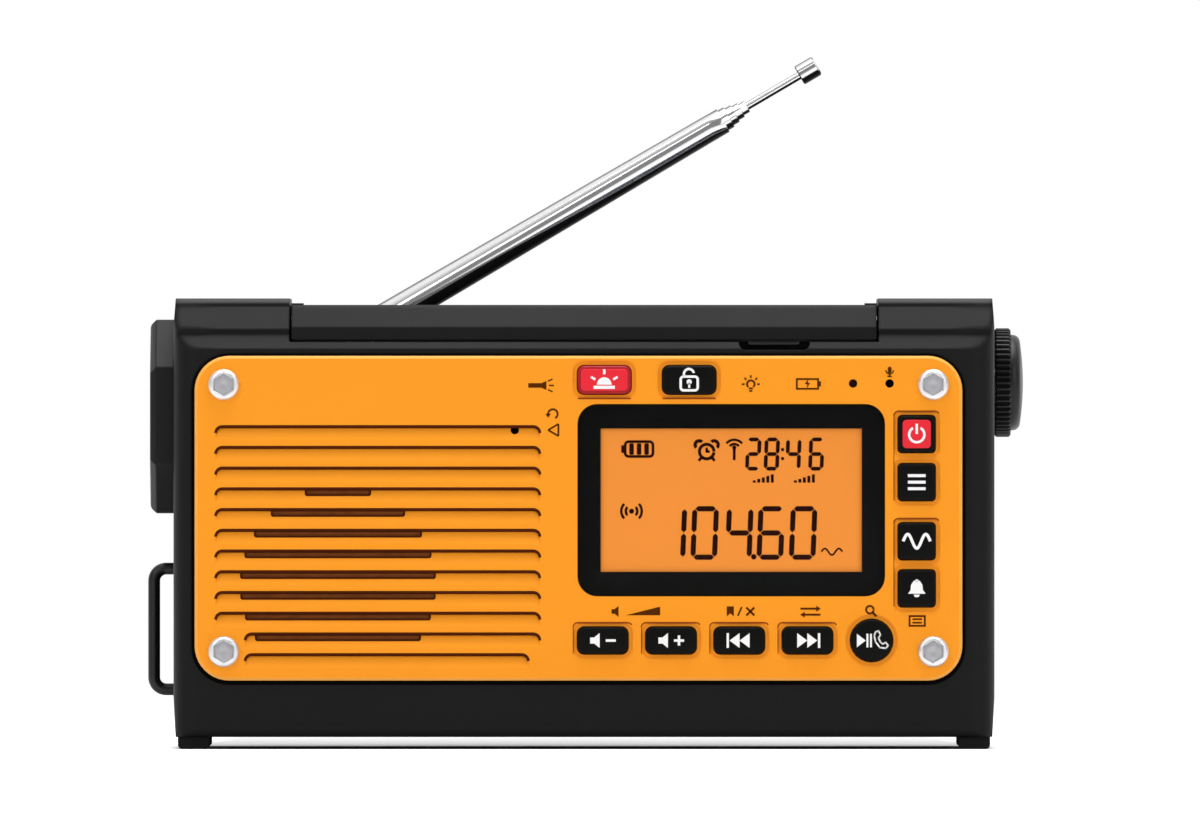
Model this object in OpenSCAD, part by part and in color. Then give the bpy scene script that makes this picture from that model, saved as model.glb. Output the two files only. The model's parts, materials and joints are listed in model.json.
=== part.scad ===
/* [Body] */
// Width of the body between its end walls
body_w = 164; // [160:1:176]
// Height of the shoulders above the floor
body_h = 90; // [88:1:98]
// Depth of the body from front face to back face
body_d = 56; // [54:1:64]
// Thickness of the case walls
wall = 2.2; // [1.8:0.1:2.6]
// Height of the case bottom above the floor
base_z = 2.4; // [1.6:0.1:3]
// Radius of the upright body edges
corner_r = 5; // [3:0.5:7]
// Radius of the long lower edges of the body
edge_r = 2; // [2:0.5:6]
// Width of each shoulder beside the lid
shoulder_w = 23.2; // [22:0.2:26]
// Height of the slope between the front face and the shoulder top
slope_h = 10.1; // [10:0.1:10.9]
// Inward draft of the end walls at the foot and at the top
end_draft = 0.5; // [0.3:0.1:1]

/* [Feet] */
// Width of a foot
foot_w = 6.2; // [5:0.2:8]
// Length of a foot from front to back
foot_l = 13; // [10:0.5:18]
// How deep a foot sits in the case bottom
foot_seat = 0.9; // [0.6:0.1:1.2]

/* [Faceplate] */
// Gap between the left end of the body and the faceplate
face_left_gap = 4.1; // [3.8:0.1:4.8]
// Gap between the faceplate and the right end of the body
face_right_gap = 6.3; // [5.8:0.1:6.8]
// Gap between the faceplate and the shoulder top
face_top_gap = 11.3; // [11:0.1:11.8]
// Height of the lower edge of the faceplate above the floor
face_low = 13.5; // [13:0.1:14]
// Corner radius of the faceplate
face_r = 7.1; // [5:0.1:7.6]
// Thickness of the faceplate
face_t = 2.4; // [2:0.1:3]
// How far the faceplate stands before the case
face_proud = 1.2; // [0.8:0.1:1.6]
// Bevel along the front edge of the faceplate
face_bevel = 0.7; // [0.4:0.1:1]

/* [Faceplate screws] */
// Head diameter
screw_head_d = 6.3; // [5.6:0.1:6.6]
// Head height
screw_head_h = 1.5; // [1:0.1:2]
// Shank diameter
screw_d = 3; // [2.5:0.1:3.2]
// Distance between screws along the width
screw_span_x = 141.6; // [140.6:0.1:142]
// Distance of the screws from the upper and lower edge
screw_inset_z = 5.95; // [5.6:0.05:6.4]

/* [Grille] */
// Number of louvre grooves
groove_n = 12; // [11:1:12]
// Drop of the first groove below the upper edge of the faceplate
groove_drop = 14.3; // [13.8:0.1:14.8]
// Rise of the last groove above the lower edge of the faceplate
groove_rise = 5.4; // [5:0.1:5.8]
// Distance of the grooves from the left edge of the faceplate
groove_inset = 4.4; // [4:0.1:5]
// Gap between the grooves and the window
groove_gap = 7.5; // [7:0.1:8.2]
// How much the last two grooves are shorter at the left
groove_short = 5.9; // [5.6:0.1:6.4]
// Height of the ramp under a groove edge
groove_h = 2.7; // [2.2:0.1:3]
// Depth at the groove edge
groove_depth = 1; // [0.7:0.1:1.2]
// Height of a through slot
slot_h = 1.45; // [1.2:0.05:1.6]

/* [Speaker] */
// Sideways place of the speaker
speaker_x = -49.1; // [-49.4:0.1:-48.6]
// Drop of the speaker middle below the middle of the slots
speaker_drop = 4.7; // [4.2:0.1:5.2]
// Diameter of the sound opening
speaker_d = 39.2; // [38:0.1:39.4]
// Depth of the speaker behind the front wall
speaker_depth = 14; // [12:0.5:15]

/* [Display] */
// Window width
window_w = 61.4; // [60:0.1:62]
// Gap between the top key row and the window
window_gap_top = 1.8; // [1.6:0.1:2.4]
// Gap between the window and the bottom key row
window_gap_low = 5.95; // [5.6:0.05:6.4]
// Window corner radius
window_r = 4; // [3:0.1:5]
// Sideways place of the window
window_x = 29.4; // [29:0.1:29.6]
// Width of the black border beside the lit area
mask_side = 4.65; // [4:0.05:5.4]
// Width of the black border above and below the lit area
mask_top = 4.9; // [4.4:0.05:5.6]
// Thickness of the lens
lens_t = 1.5; // [1.2:0.1:1.6]

/* [Keys] */
// Drop of the top key row below the upper edge of the faceplate
top_row_drop = 5; // [4.6:0.1:5.2]
// Sideways place of the first key in the top row
sos_x = 4.05; // [3.6:0.05:4.4]
// Sideways place of the second key in the top row
lock_x = 21; // [20.6:0.1:21.4]
// Width of a top row key
top_key_w = 11; // [10:0.1:11.4]
// Height of a top row key
top_key_h = 6; // [5.6:0.1:6.2]
// Gap between the window and the key column
column_gap = 2.45; // [2.2:0.05:2.8]
// Side of a square column key
column_key = 7.7; // [7:0.1:7.9]
// Rise of the bottom key row above the lower edge of the faceplate
bottom_row_rise = 8.2; // [8:0.1:8.6]
// Sideways place of the first key in the bottom row
bottom_x = 3.75; // [3.4:0.05:4]
// Distance between keys in the bottom row
bottom_pitch = 13.62; // [13.4:0.02:13.7]
// Width of a bottom row key
bottom_key_w = 10.4; // [9.6:0.1:10.8]
// Height of a bottom row key
bottom_key_h = 5.7; // [5.2:0.1:6]
// Sideways place of the round key
play_x = 57.4; // [57.2:0.1:58]
// Diameter of the round key
play_d = 8.8; // [8:0.1:9]
// Travel of a key
key_travel = 0.8; // [0.5:0.1:0.9]
// How far a key stands before the faceplate
key_proud = 0.9; // [0.6:0.1:1.1]
// Clearance round a key
key_gap = 0.25; // [0.15:0.05:0.35]

/* [Lid] */
// Thickness of the lid
lid_t = 7; // [6.4:0.2:7.4]
// Gap round the lid
lid_gap = 0.4; // [0.3:0.05:0.6]
// Drop of the lid top below the shoulders
lid_drop = 1.3; // [1:0.1:2]
// Set-back of the lid front behind the front face
lid_setback = 1.6; // [1.4:0.1:2]
// Diameter of the hinge pins
hinge_pin_d = 3; // [2:0.1:3.2]
// Width of the finger notch
notch_w = 14; // [10:0.5:20]
// Sideways place of the finger notch
notch_x = 38; // [-40:1:40]

/* [Torch] */
// Height and width of the octagonal bezel
torch_size = 38.8; // [36:0.2:39]
// How far the bezel stands out of the end wall
torch_proud = 4.8; // [3.6:0.1:5]
// Corner bevel of the octagon
torch_bevel = 9.6; // [8:0.2:11]
// Drop of the torch middle below the shoulder top
torch_drop = 23.6; // [23:0.1:24.5]
// Diameter of the lens opening
torch_open = 28; // [26:0.2:28.6]
// Depth of the reflector
reflector_depth = 15; // [12:0.5:17]

/* [Tuning knob] */
// Drop of the knob middle below the shoulder top
knob_drop = 16.8; // [16.4:0.1:18]
// Diameter over the ribs
knob_d = 21.8; // [20:0.1:23]
// Diameter of the smooth cap
knob_cap_d = 19.2; // [17:0.1:19.4]
// Width of the ribbed ring
knob_ring_w = 3.2; // [2.6:0.1:4]
// Length of the cap beyond the ring
knob_cap_l = 2.5; // [2:0.1:3]
// Number of ribs
knob_ribs = 56; // [40:1:60]
// Diameter of the shaft
shaft_d = 6; // [5:0.1:6.4]

/* [Strap loop] */
// Wire diameter
loop_wire = 2.4; // [2:0.1:2.6]
// Reach of the loop out of the end wall
loop_reach = 5.4; // [4.6:0.1:5.6]
// Length of the loop along the height
loop_h = 26.6; // [20:0.2:30]
// Height of the loop middle
loop_z = 23.8; // [22:0.2:28]

/* [Antenna] */
// Outer tube diameter at its open end
antenna_d = 5.3; // [5:0.1:5.4]
// Outer tube diameter at its foot
antenna_foot_d = 6.4; // [5.6:0.1:6.6]
// Wall of each tube
antenna_wall = 0.3; // [0.25:0.01:0.32]
// Length of the outer tube from the pivot
antenna_l = 84.6; // [78:0.2:90]
// Step of each inner tube beyond the one round it
antenna_step = 1.4; // [0.8:0.1:1.6]
// Length of the bare rod before its tip
antenna_rod_l = 12.2; // [6:0.2:20]
// Diameter of the rod
antenna_rod_d = 1.6; // [1.4:0.1:1.8]
// Diameter of the tip
antenna_tip_d = 4.2; // [3.6:0.1:5]
// Length of the tip
antenna_tip_l = 4.1; // [3:0.1:6]
// Raise of the antenna above level
antenna_angle = 30.4; // [10:0.1:45]
// Sideways place of the pivot
antenna_x = -45; // [-48:0.5:-40]
// Drop of the antenna channel middle below the shoulder top
antenna_drop = 6.8; // [6.4:0.1:7.4]
// Width and depth of the antenna channel
channel_w = 7.4; // [7.2:0.1:8]
// Right end of the antenna channel
channel_right = 68; // [66:1:70]

/* [Crank] */
// Sideways place of the crank axis
crank_x = 22; // [18:0.5:26]
// Height of the wall below the round dish that the crank turns in
dish_low = 6.6; // [6.2:0.1:7]
// Height of the wall between the dish and the antenna channel
dish_gap = 2.5; // [2.3:0.1:3]
// Depth of the dish
dish_d = 4; // [3:0.2:5]
// Gap between the end of the arm and the dish wall
crank_end_gap = 2; // [1.6:0.1:3]
// Width of the arm
crank_w = 14; // [12:0.5:16]
// Thickness of the arm
crank_t = 6; // [5.4:0.2:7]
// Diameter of the folding handle
handle_d = 5.2; // [4.4:0.2:5.4]
// Distance of the folded handle from the crank axis
handle_hub_gap = 8.2; // [7.8:0.1:10]

/* [Gears] */
// Tooth size, pitch diameter over number of teeth
tooth_module = 1.25; // [1.2:0.01:1.3]
// Teeth of the crank gear
crank_teeth = 28; // [26:1:28]
// Teeth of the idler pinion
idler_small_teeth = 12; // [12:1:13]
// Teeth of the idler wheel
idler_large_teeth = 26; // [24:1:26]
// Teeth of the generator pinion
generator_teeth = 10; // [10:1:11]
// Face width of the gears
gear_w = 4; // [3:0.2:4.4]
// Play between tooth flanks
backlash = 0.3; // [0.2:0.05:0.4]
// Diameter of the generator
generator_d = 24; // [20:0.5:26]
// Length of the generator
generator_l = 13; // [10:0.5:14]

/* [Power] */
// Battery diameter
battery_d = 18.4; // [16:0.1:18.6]
// Battery length
battery_l = 65; // [60:0.5:66]
// Diameter of the ferrite rod
ferrite_d = 8; // [6:0.2:9]
// Length of the ferrite rod
ferrite_l = 70; // [60:1:76]

/* [Boards] */
// Thickness of the circuit boards
board_t = 1.6; // [1:0.1:1.8]
// Space between front wall and main board
board_gap = 5.8; // [5.6:0.1:6.4]
// Left edge of the main board
board_left = -19; // [-20:0.5:-18]
// Gap between the main board and the right end wall
board_end_gap = 1.8; // [1.4:0.1:2.4]
// Gap between the main board and the ceiling above it
board_top_gap = 1.1; // [0.8:0.1:1.6]
// Distance of the main board above the lower edge of the faceplate
board_rise = 0.5; // [0:0.1:1]

/* [Port cover] */
// Length of the rubber cover
cover_l = 34; // [32:0.5:36]
// Height of the rubber cover
cover_h = 13; // [12:0.2:14]
// Thickness of the rubber cover
cover_t = 1.8; // [1.6:0.1:2]
// Height of the cover middle
cover_z = 27; // [25:0.2:28]
// Place of the cover from front to back
cover_y = 4; // [2:0.2:5]

/* [Clearances] */
// Radial clearance of shafts and pins that turn
run_gap = 0.05; // [0.02:0.01:0.09]
// Clearance between fixed pieces that fit together
fit_gap = 0.15; // [0.1:0.01:0.2]
// Gap between pieces that move past each other
move_gap = 0.3; // [0.25:0.01:0.4]

/* [Hidden] */
$fn = 48;
eps = 0.01;
past = 1;

// Body planes
half_w = body_w / 2;
front_y = -body_d / 2;
back_y = body_d / 2;
face_front = front_y - face_proud;
face_back = face_front + face_t;
wall_in = face_back + wall;
board_front = wall_in + board_gap;
board_back = board_front + board_t;
seam_gap = 1.4;
seam_y = board_back + seam_gap;
rear_in = back_y - wall;
dish_floor = back_y - dish_d;
dish_in = dish_floor - wall;
end_in = half_w - wall;
floor_in = base_z + wall;
front_h = body_h - slope_h;
draft_foot_h = 8;
draft_top_h = 6;

// Faceplate edges
face_w = body_w - face_left_gap - face_right_gap;
face_h = body_h - face_top_gap - face_low;
face_x = (face_left_gap - face_right_gap) / 2;
face_z = face_low + face_h / 2;
face_left = face_x - face_w / 2;
face_top = face_low + face_h;

// Lid bay between the shoulders
bay_half = half_w - shoulder_w;
lid_top = body_h - lid_drop;
lid_bottom = lid_top - lid_t;
deck_z = lid_bottom - lid_gap;
lid_half = bay_half - lid_gap;
lid_front = front_y + lid_setback;
channel_y = back_y - channel_w;
bay_back = channel_y - wall;
hinge_y = bay_back - lid_gap - lid_t / 2;
hinge_z = lid_top - lid_t / 2;
hinge_pin_in = 5;
rail_drop = 0.6;
rail_top = lid_top - rail_drop;
knuckle_w = 2.4;
knuckle_rise = 0.5;
knuckle_top = lid_top + knuckle_rise;

// Antenna channel and pivot
antenna_shift = 0.1;
antenna_y = back_y - channel_w / 2 + antenna_shift;
antenna_z = body_h - antenna_drop;
channel_z = antenna_z - channel_w / 2;
channel_lap = 0.4;
channel_left = -bay_half - channel_lap;

// Main board edges
board_right = end_in - board_end_gap;
board_z0 = face_low + board_rise;
board_z1 = deck_z - wall - board_top_gap;

// Crank axis and dish, between the base and the antenna channel
dish_r = (channel_z - dish_gap - base_z - dish_low) / 2;
crank_z = base_z + dish_low + dish_r;
crank_l = dish_r - crank_end_gap;

// Front screws: four corners of the faceplate
screw_span_z = face_h - 2 * screw_inset_z;
screw_right = face_x + screw_span_x / 2;
face_screws = [
    for (sx = [-1, 1], sz = [-1, 1]) [face_x + sx * screw_span_x / 2, face_z + sz * screw_span_z / 2]
];
// Case screws: low in the corners and high in the shoulders
case_screw_d = 2.8;
case_screw_head_d = 5.4;
case_screw_head_h = 2;
boss_d = 6.4;
case_screw_side = 7.4;
case_screw_rise = 4.4;
case_screw_drop = 3.4;
case_screw_in = 7;
case_screw_bay = 2.6;
case_screw_z = body_h - wall - case_screw_drop;
case_screw_places = [
    for (sx = [-1, 1]) [sx * (half_w - case_screw_side), floor_in + case_screw_rise],
    [-(bay_half + wall + case_screw_bay), case_screw_z], [half_w - case_screw_in, case_screw_z]
];
// Board screws and gearbox screws are the same small screw
small_screw_d = 2.2;
small_head_d = 4;
small_head_h = 1.4;
small_screw_l = 5;
board_screw_in = 4;
board_screw_left = 5.6;
board_screw_mid = 16.6;
board_screw_rise = 10;
board_screw_places = [
    for (z = [board_z0 + board_screw_in, board_z1 - board_screw_in]) [board_left + board_screw_left, z],
    [lock_x + board_screw_mid, board_z1 - board_screw_in],
    [board_right - board_screw_in, board_z0 + board_screw_rise]
];

// Keys: place, width, height and corner radius of each, in the order of their names
key_r = 1.5;
column_key_r = 0.9;
top_row_z = face_top - top_row_drop;
bottom_row_z = face_low + bottom_row_rise;

// Window between the two key rows
window_top = top_row_z - top_key_h / 2 - window_gap_top;
window_low = bottom_row_z + bottom_key_h / 2 + window_gap_low;
window_h = window_top - window_low;
window_z = (window_top + window_low) / 2;
lcd_w = window_w - 2 * mask_side;
lcd_h = window_h - 2 * mask_top;

// Key column beside the window: its gaps share the room between the right screws
column_x = window_x + window_w / 2 + column_gap + column_key / 2;
column_top = face_z + screw_span_z / 2 - screw_head_d / 2;
column_least = [0.9, 1.4, 1.4, 1.4, 0.9];
column_weight = [39, 10, 54, 6, 95];
function total(list, n) = n < 1 ? 0 : list[n - 1] + total(list, n - 1);
column_spare = screw_span_z - screw_head_d - 4 * column_key - total(column_least, 5);
column_gaps = [
    for (i = [0:4]) column_least[i] + column_spare * column_weight[i] / total(column_weight, 5)
];
column_z = [for (i = [0:3]) column_top - total(column_gaps, i + 1) - (i + 0.5) * column_key];

keys = concat(
    [[sos_x, top_row_z, top_key_w, top_key_h, key_r], [lock_x, top_row_z, top_key_w, top_key_h, key_r]],
    [for (z = column_z) [column_x, z, column_key, column_key, column_key_r]],
    [for (i = [0:3]) [bottom_x + i * bottom_pitch, bottom_row_z, bottom_key_w, bottom_key_h, key_r]],
    [[play_x, bottom_row_z, play_d, play_d, play_d / 2]]
);
key_flange = 0.6;
key_recess = 0.8;
key_recess_depth = 0.35;
stem_d = 2.4;
stem_in = 0.3;
switch_h = 2.6;
switch_w = 6;

// Grooves, and the slots over the speaker, shorter away from its middle
groove_top = face_top - groove_drop;
groove_pitch = (face_h - groove_drop - groove_rise) / (groove_n - 1);
groove_left = face_left + groove_inset;
groove_right = window_x - window_w / 2 - groove_gap;
groove_last_short = 2.3;
slot_first = 3;
slot_r = 0.5;
slot_last = 10;
groove_end_r = 1.3;
speaker_z = groove_top - (slot_first + slot_last) / 2 * groove_pitch - speaker_drop;
speaker_lip = 1.2;
speaker_flange = 3;

// Small holes in the faceplate: charge light, microphone, reset
pin_drop = 0.7;
charge_in = 16;
mic_in = 8.7;
reset_in = 5;
charge_at = [screw_right - charge_in, top_row_z - pin_drop];
mic_at = [screw_right - mic_in, top_row_z - pin_drop];
reset_at = [groove_right - reset_in, groove_top - pin_drop];
pin_hole_d = 1.7;

// End pieces
torch_y = 1;
torch_z = body_h - torch_drop;
knob_y = 0;
knob_z = body_h - knob_drop;
loop_y = 0;
lens_lap = 1;
reflector_d = torch_open + 2 * lens_lap;
torch_lens_t = 1.5;
encoder_body = 12;
encoder_l = 6.6;
encoder_floor = 1.8;
bush_wall = 1;
bush_d = shaft_d + 2 * bush_wall;
seat_t = 3;

// Crank, gears and generator, from the dish inwards
arm_back = dish_floor + lid_gap;
crank_shaft_d = 6;
gear_gap = 1.2;
crank_gear_y = dish_in - gear_gap - gear_w;
idler_wheel_y = crank_gear_y - gear_gap - gear_w;
plate_t = 2;
plate_y = idler_wheel_y - gear_gap - plate_t;
generator_y = plate_y - generator_l;
idler_x = crank_x - tooth_module * (crank_teeth + idler_small_teeth) / 2;
generator_x = idler_x - tooth_module * (idler_large_teeth + generator_teeth) / 2;
idler_shaft_d = 3;
generator_shaft_d = 2.4;
pressure_angle = 25;
addendum = 0.8 * tooth_module;
dedendum = 1.1 * tooth_module;
handle_pin_d = 2;
handle_end = 3.2;
handle_pivot_x = crank_l - handle_d / 2 - handle_end;
handle_l = handle_pivot_x - handle_hub_gap;
slot_clear = 0.5;
// Posts of the gearbox plate, beside the generator and the crank gear
post_left_in = 13.5;
post_right_in = 17;
post_left = generator_x - post_left_in;
post_right = crank_x + post_right_in;
post_rise = 16;
plate_posts = [for (x = [post_left, post_right], s = [1, -1]) [x, crank_z + s * post_rise]];
plate_rim = 3;

// Battery and ferrite rod
holder_t = 1.5;
holder_left = 1;
holder_right = 2;
battery_gap = 2.5;
battery_x0 = -4;
battery_y = board_back + battery_gap + holder_t + battery_d / 2;
battery_z = floor_in + holder_t + battery_d / 2;
ferrite_x0 = -42;
ferrite_y = -4;
ferrite_drop = 4;
ferrite_z = deck_z - wall - ferrite_d / 2 - ferrite_drop;
hanger_in = 12;
hanger_xs = [ferrite_x0 + hanger_in, ferrite_x0 + ferrite_l - hanger_in];
hanger_t = 3;
hanger_rim = 2;

// Port cover on the right end wall
cover_recess = cover_t + move_gap;
pad_t = 2;
pad_in = end_in - pad_t;
cover_axis_x = half_w - cover_t / 2;
cover_axis_z = cover_z - cover_h / 2 + cover_t / 2;
port_depth = 8;
port_board_x = pad_in - port_depth - board_t;
port_rib_lap = 1.6;
port_rim = 1.5;
port_shell = 0.6;
port_rib_y = cover_y + cover_l / 2 - port_rib_lap;
port_half = cover_h / 2 + port_rim;
usb_a_y = -9;
usb_a_w = 13.2;
usb_a_h = 5.8;
usb_c_y = 5;
usb_c_w = 9;
usb_c_h = 3.3;
jack_y = 13;
jack_d = 6;

// Small sizes shared by pieces that meet
lcd_rim_x = 5.5;
lcd_rim_z = 5.8;
lcd_body_w = lcd_w + lcd_rim_x;
lcd_body_h = lcd_h + lcd_rim_z;
lcd_corner_r = 1;
screw_tip_gap = 0.6;
hex_d = 4.5;
hex_floor = 0.5;
cross_w = 0.8;
loop_leg_in = 0.8;
lens_sink = 0.25;
idler_seat = 1.2;
bush_od = 6;
notch_d = 5;
notch_h = 1.6;
notch_r = 1.2;
case_screw_seat = back_y - case_screw_head_h - 1;
case_screw_tip = seam_y - 7;
foot_inset = 0.9;
foot_inset_y = 2.4;
foot_round = 0.9;

// Shape helpers
module along_y(y0, y1) {
    translate([0, y1, 0]) rotate([90, 0, 0]) linear_extrude(y1 - y0) children();
}

module along_x(x0, x1) {
    translate([x0, 0, 0]) rotate([90, 0, 90]) linear_extrude(x1 - x0) children();
}

module rod_y(x, z, d, y0, y1) {
    along_y(y0, y1) translate([x, z]) circle(d = d);
}

module rod_x(y, z, d, x0, x1) {
    along_x(x0, x1) translate([y, z]) circle(d = d);
}

module box(x0, x1, y0, y1, z0, z1) {
    translate([x0, y0, z0]) cube([x1 - x0, y1 - y0, z1 - z0]);
}

module rounded(w, h, r) {
    if (2 * r >= min(w, h)) {
        circle(d = min(w, h));
    } else {
        square([w - 2 * r, h], center = true);
        square([w, h - 2 * r], center = true);
        for (sx = [-1, 1], sy = [-1, 1])
            translate([sx * (w / 2 - r), sy * (h / 2 - r)]) circle(r = r);
    }
}

// Turned shape about a line along Y: points are radius and place along Y
module spin_y(x, z, points) {
    translate([x, 0, z]) rotate([-90, 0, 0]) rotate_extrude() polygon(points);
}

// Turned shape about a line along X: points are radius and place along X
module spin_x(y, z, points) {
    translate([0, y, z]) rotate([0, 90, 0]) rotate_extrude() polygon(points);
}

// Case: outside shape, room inside, and what stands in the room
slope_run = 2.4;
slope_rise = 3.1;
crease_z = front_h + slope_rise;
crease_h = 0.8;
roll_foot = 1.9;
roll_top = 5.4;
roll_r = 1.6;

module side_outline() {
    difference() {
        translate([0, (base_z + body_h) / 2]) rounded(body_d, body_h - base_z, edge_r);
        polygon([
            [front_y - past, front_h], [front_y, front_h], [front_y + slope_run, crease_z],
            [front_y + roll_foot, crease_z + crease_h], [front_y + roll_top, body_h - roll_r],
            [front_y + roll_top + roll_r, body_h - roll_r], [front_y + roll_top + roll_r, body_h + past],
            [front_y - past, body_h + past]
        ]);
    }
    translate([front_y + roll_top + roll_r, body_h - roll_r]) circle(r = roll_r);
}

module end_outline() {
    foot_x = half_w - end_draft;
    polygon([
        [-foot_x, base_z - past], [foot_x, base_z - past], [half_w, base_z + draft_foot_h],
        [half_w, body_h - draft_top_h], [foot_x, body_h + past], [-foot_x, body_h + past],
        [-half_w, body_h - draft_top_h], [-half_w, base_z + draft_foot_h]
    ]);
}

module body_outer() {
    intersection() {
        along_x(-half_w - past, half_w + past) side_outline();
        along_y(front_y - past, back_y + past) end_outline();
        translate([0, 0, base_z - past]) linear_extrude(body_h) rounded(body_w, body_d, corner_r);
    }
}

module room() {
    difference() {
        union() {
            box(-end_in, end_in, wall_in, rear_in, floor_in, deck_z - wall);
            for (s = [-1, 1])
                translate([s * (bay_half + wall + end_in) / 2, 0, 0])
                    box(-(end_in - bay_half - wall) / 2, (end_in - bay_half - wall) / 2,
                        front_y + roll_top + wall, rear_in, floor_in, body_h - wall);
        }
        box(channel_left - wall, channel_right + wall, channel_y - wall, back_y,
            channel_z - wall, body_h);
        rod_y(crank_x, crank_z, 2 * (dish_r + wall), dish_in, back_y);
        box(pad_in, half_w, cover_y - cover_l / 2 - seat_t, cover_y + cover_l / 2 + seat_t,
            cover_z - cover_h / 2 - seat_t, cover_z + cover_h / 2 + seat_t);
        front_bosses();
        for (p = case_screw_places) rod_y(p[0], p[1], boss_d, front_y, back_y);
        for (p = plate_posts) rod_y(p[0], p[1], boss_d, plate_y + plate_t, back_y);
        hangers();
        box(port_board_x - wall, port_board_x, port_rib_y, back_y, cover_z - port_half - pad_t / 2,
            cover_z + port_half + pad_t / 2);
    }
}

module front_bosses() {
    for (p = face_screws) rod_y(p[0], p[1], boss_d, front_y, board_front);
    for (p = board_screw_places) rod_y(p[0], p[1], boss_d - 1, front_y, board_front);
}

module hangers() {
    for (x = hanger_xs)
        difference() {
            box(x - hanger_t / 2, x + hanger_t / 2, ferrite_y - ferrite_d / 2 - hanger_rim,
                ferrite_y + ferrite_d / 2 + hanger_rim, ferrite_z - ferrite_d / 2 - hanger_rim, deck_z);
            rod_x(ferrite_y, ferrite_z, ferrite_d + 2 * fit_gap, x - hanger_t, x + hanger_t);
        }
}

// Openings in the front wall, behind the faceplate
module front_cuts() {
    along_y(front_y - past, face_back) translate([face_x, face_z])
        rounded(face_w + 2 * fit_gap, face_h + 2 * fit_gap, face_r + fit_gap);
    along_y(face_back - past, wall_in + past) {
        translate([window_x, window_z])
            rounded(lcd_body_w + 2 * fit_gap, lcd_body_h + 2 * fit_gap, lcd_corner_r);
        for (k = keys)
            translate([k[0], k[1]]) rounded(k[2] + 2 * key_gap, k[3] + 2 * key_gap, k[4] + key_gap);
        for (p = [charge_at, mic_at, reset_at]) translate(p) circle(d = pin_hole_d);
        translate([speaker_x, speaker_z]) circle(d = speaker_d + 2 * fit_gap);
    }
    for (p = face_screws)
        rod_y(p[0], p[1], screw_d + 2 * run_gap, face_back - past, board_front + past);
    for (p = board_screw_places)
        rod_y(p[0], p[1], small_screw_d + 2 * run_gap, board_front - small_screw_l, board_front + past);
}

// Antenna channel, the rail between it and the lid, and the crank's dish
module rear_cuts() {
    box(channel_left, channel_right, channel_y, back_y + past, channel_z, body_h + past);
    box(-bay_half + knuckle_w, bay_half - knuckle_w, bay_back - past, channel_y + past,
        rail_top, body_h + past);
    box(-bay_half, bay_half, bay_back - past, channel_y + past, knuckle_top, body_h + past);
    rod_y(crank_x, crank_z, 2 * dish_r, dish_floor, back_y + past);
    rod_y(crank_x, crank_z, crank_shaft_d + 2 * run_gap, dish_in - past, dish_floor + past);
    rod_y(idler_x, crank_z, idler_shaft_d + 2 * run_gap, dish_in - past, dish_in + idler_seat + fit_gap);
    rod_y(antenna_x, antenna_z, bush_od + 2 * fit_gap, bay_back - past, channel_y + past);
    rod_x(torch_y, torch_z, reflector_d + 2 * fit_gap, -half_w - past, -end_in + past);
    rod_x(knob_y, knob_z, bush_d + 2 * fit_gap, pad_in, half_w + past);
    for (s = [-1, 1])
        rod_x(loop_y, loop_z + s * (loop_h - loop_wire) / 2, loop_wire + 2 * fit_gap,
              -half_w - past, -end_in + past);
    for (p = plate_posts)
        rod_y(p[0], p[1], small_screw_d + 2 * run_gap, plate_y, plate_y + small_screw_l + fit_gap);
    port_cuts();
}

module shared_cuts() {
    box(-bay_half, bay_half, front_y - past, bay_back, deck_z, body_h + past);
    along_y(front_y - past, front_y + notch_d)
        translate([notch_x, deck_z]) rounded(notch_w, 2 * notch_h, notch_r);
    for (s = [-1, 1])
        rod_x(hinge_y, hinge_z, hinge_pin_d + 2 * run_gap, s * (bay_half + wall / 2) - wall,
              s * (bay_half + wall / 2) + wall);
    for (sx = [-1, 1], sy = [-1, 1]) foot_at(sx, sy, fit_gap);
    for (p = case_screw_places) {
        rod_y(p[0], p[1], case_screw_d + 2 * run_gap, case_screw_tip - fit_gap, back_y + past);
        rod_y(p[0], p[1], case_screw_head_d + 2 * fit_gap, case_screw_seat, back_y + past);
    }
}

module port_cuts() {
    along_y(cover_y - cover_l / 2 - move_gap, cover_y + cover_l / 2 + move_gap) {
        translate([cover_axis_x, cover_axis_z]) circle(d = cover_t + 2 * move_gap);
        translate([half_w - cover_recess, cover_axis_z])
            square([cover_recess + past, cover_h - cover_t / 2 + move_gap]);
        translate([cover_axis_x, cover_axis_z - cover_t / 2 - move_gap])
            square([cover_t / 2 + past, cover_t / 2 + move_gap + eps]);
    }
    along_x(pad_in - past, half_w) port_outlines(fit_gap);
}

// Outlines of the three sockets behind the port cover
module port_outlines(grow) {
    translate([cover_y + usb_a_y, cover_z]) square([usb_a_w + 2 * grow, usb_a_h + 2 * grow], center = true);
    translate([cover_y + usb_c_y, cover_z])
        rounded(usb_c_w + 2 * grow, usb_c_h + 2 * grow, usb_c_h / 2 - eps);
    translate([cover_y + jack_y, cover_z]) circle(d = jack_d + 2 * grow);
}

module front_case() color([0.12, 0.12, 0.12]) {
    difference() {
        intersection() {
            body_outer();
            box(-body_w, body_w, front_y - past, seam_y, 0, body_h + past);
        }
        room();
        front_cuts();
        shared_cuts();
    }
}

module rear_case() color([0.11, 0.11, 0.11]) {
    difference() {
        intersection() {
            body_outer();
            box(-body_w, body_w, seam_y, back_y + past, 0, body_h + past);
        }
        room();
        rear_cuts();
        shared_cuts();
    }
}

module foot_at(sx, sy, grow) {
    x = sx * (half_w - foot_inset - foot_w / 2);
    y = sy * (body_d / 2 - foot_inset_y - foot_l / 2);
    top = base_z + foot_seat;
    along_y(y - foot_l / 2 - grow, y + foot_l / 2 + grow)
        translate([x, top / 2]) rounded(foot_w + 2 * grow, top, foot_round);
}

module feet() color([0.07, 0.07, 0.07])
    for (sx = [-1, 1], sy = [-1, 1]) foot_at(sx, sy, 0);

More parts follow.
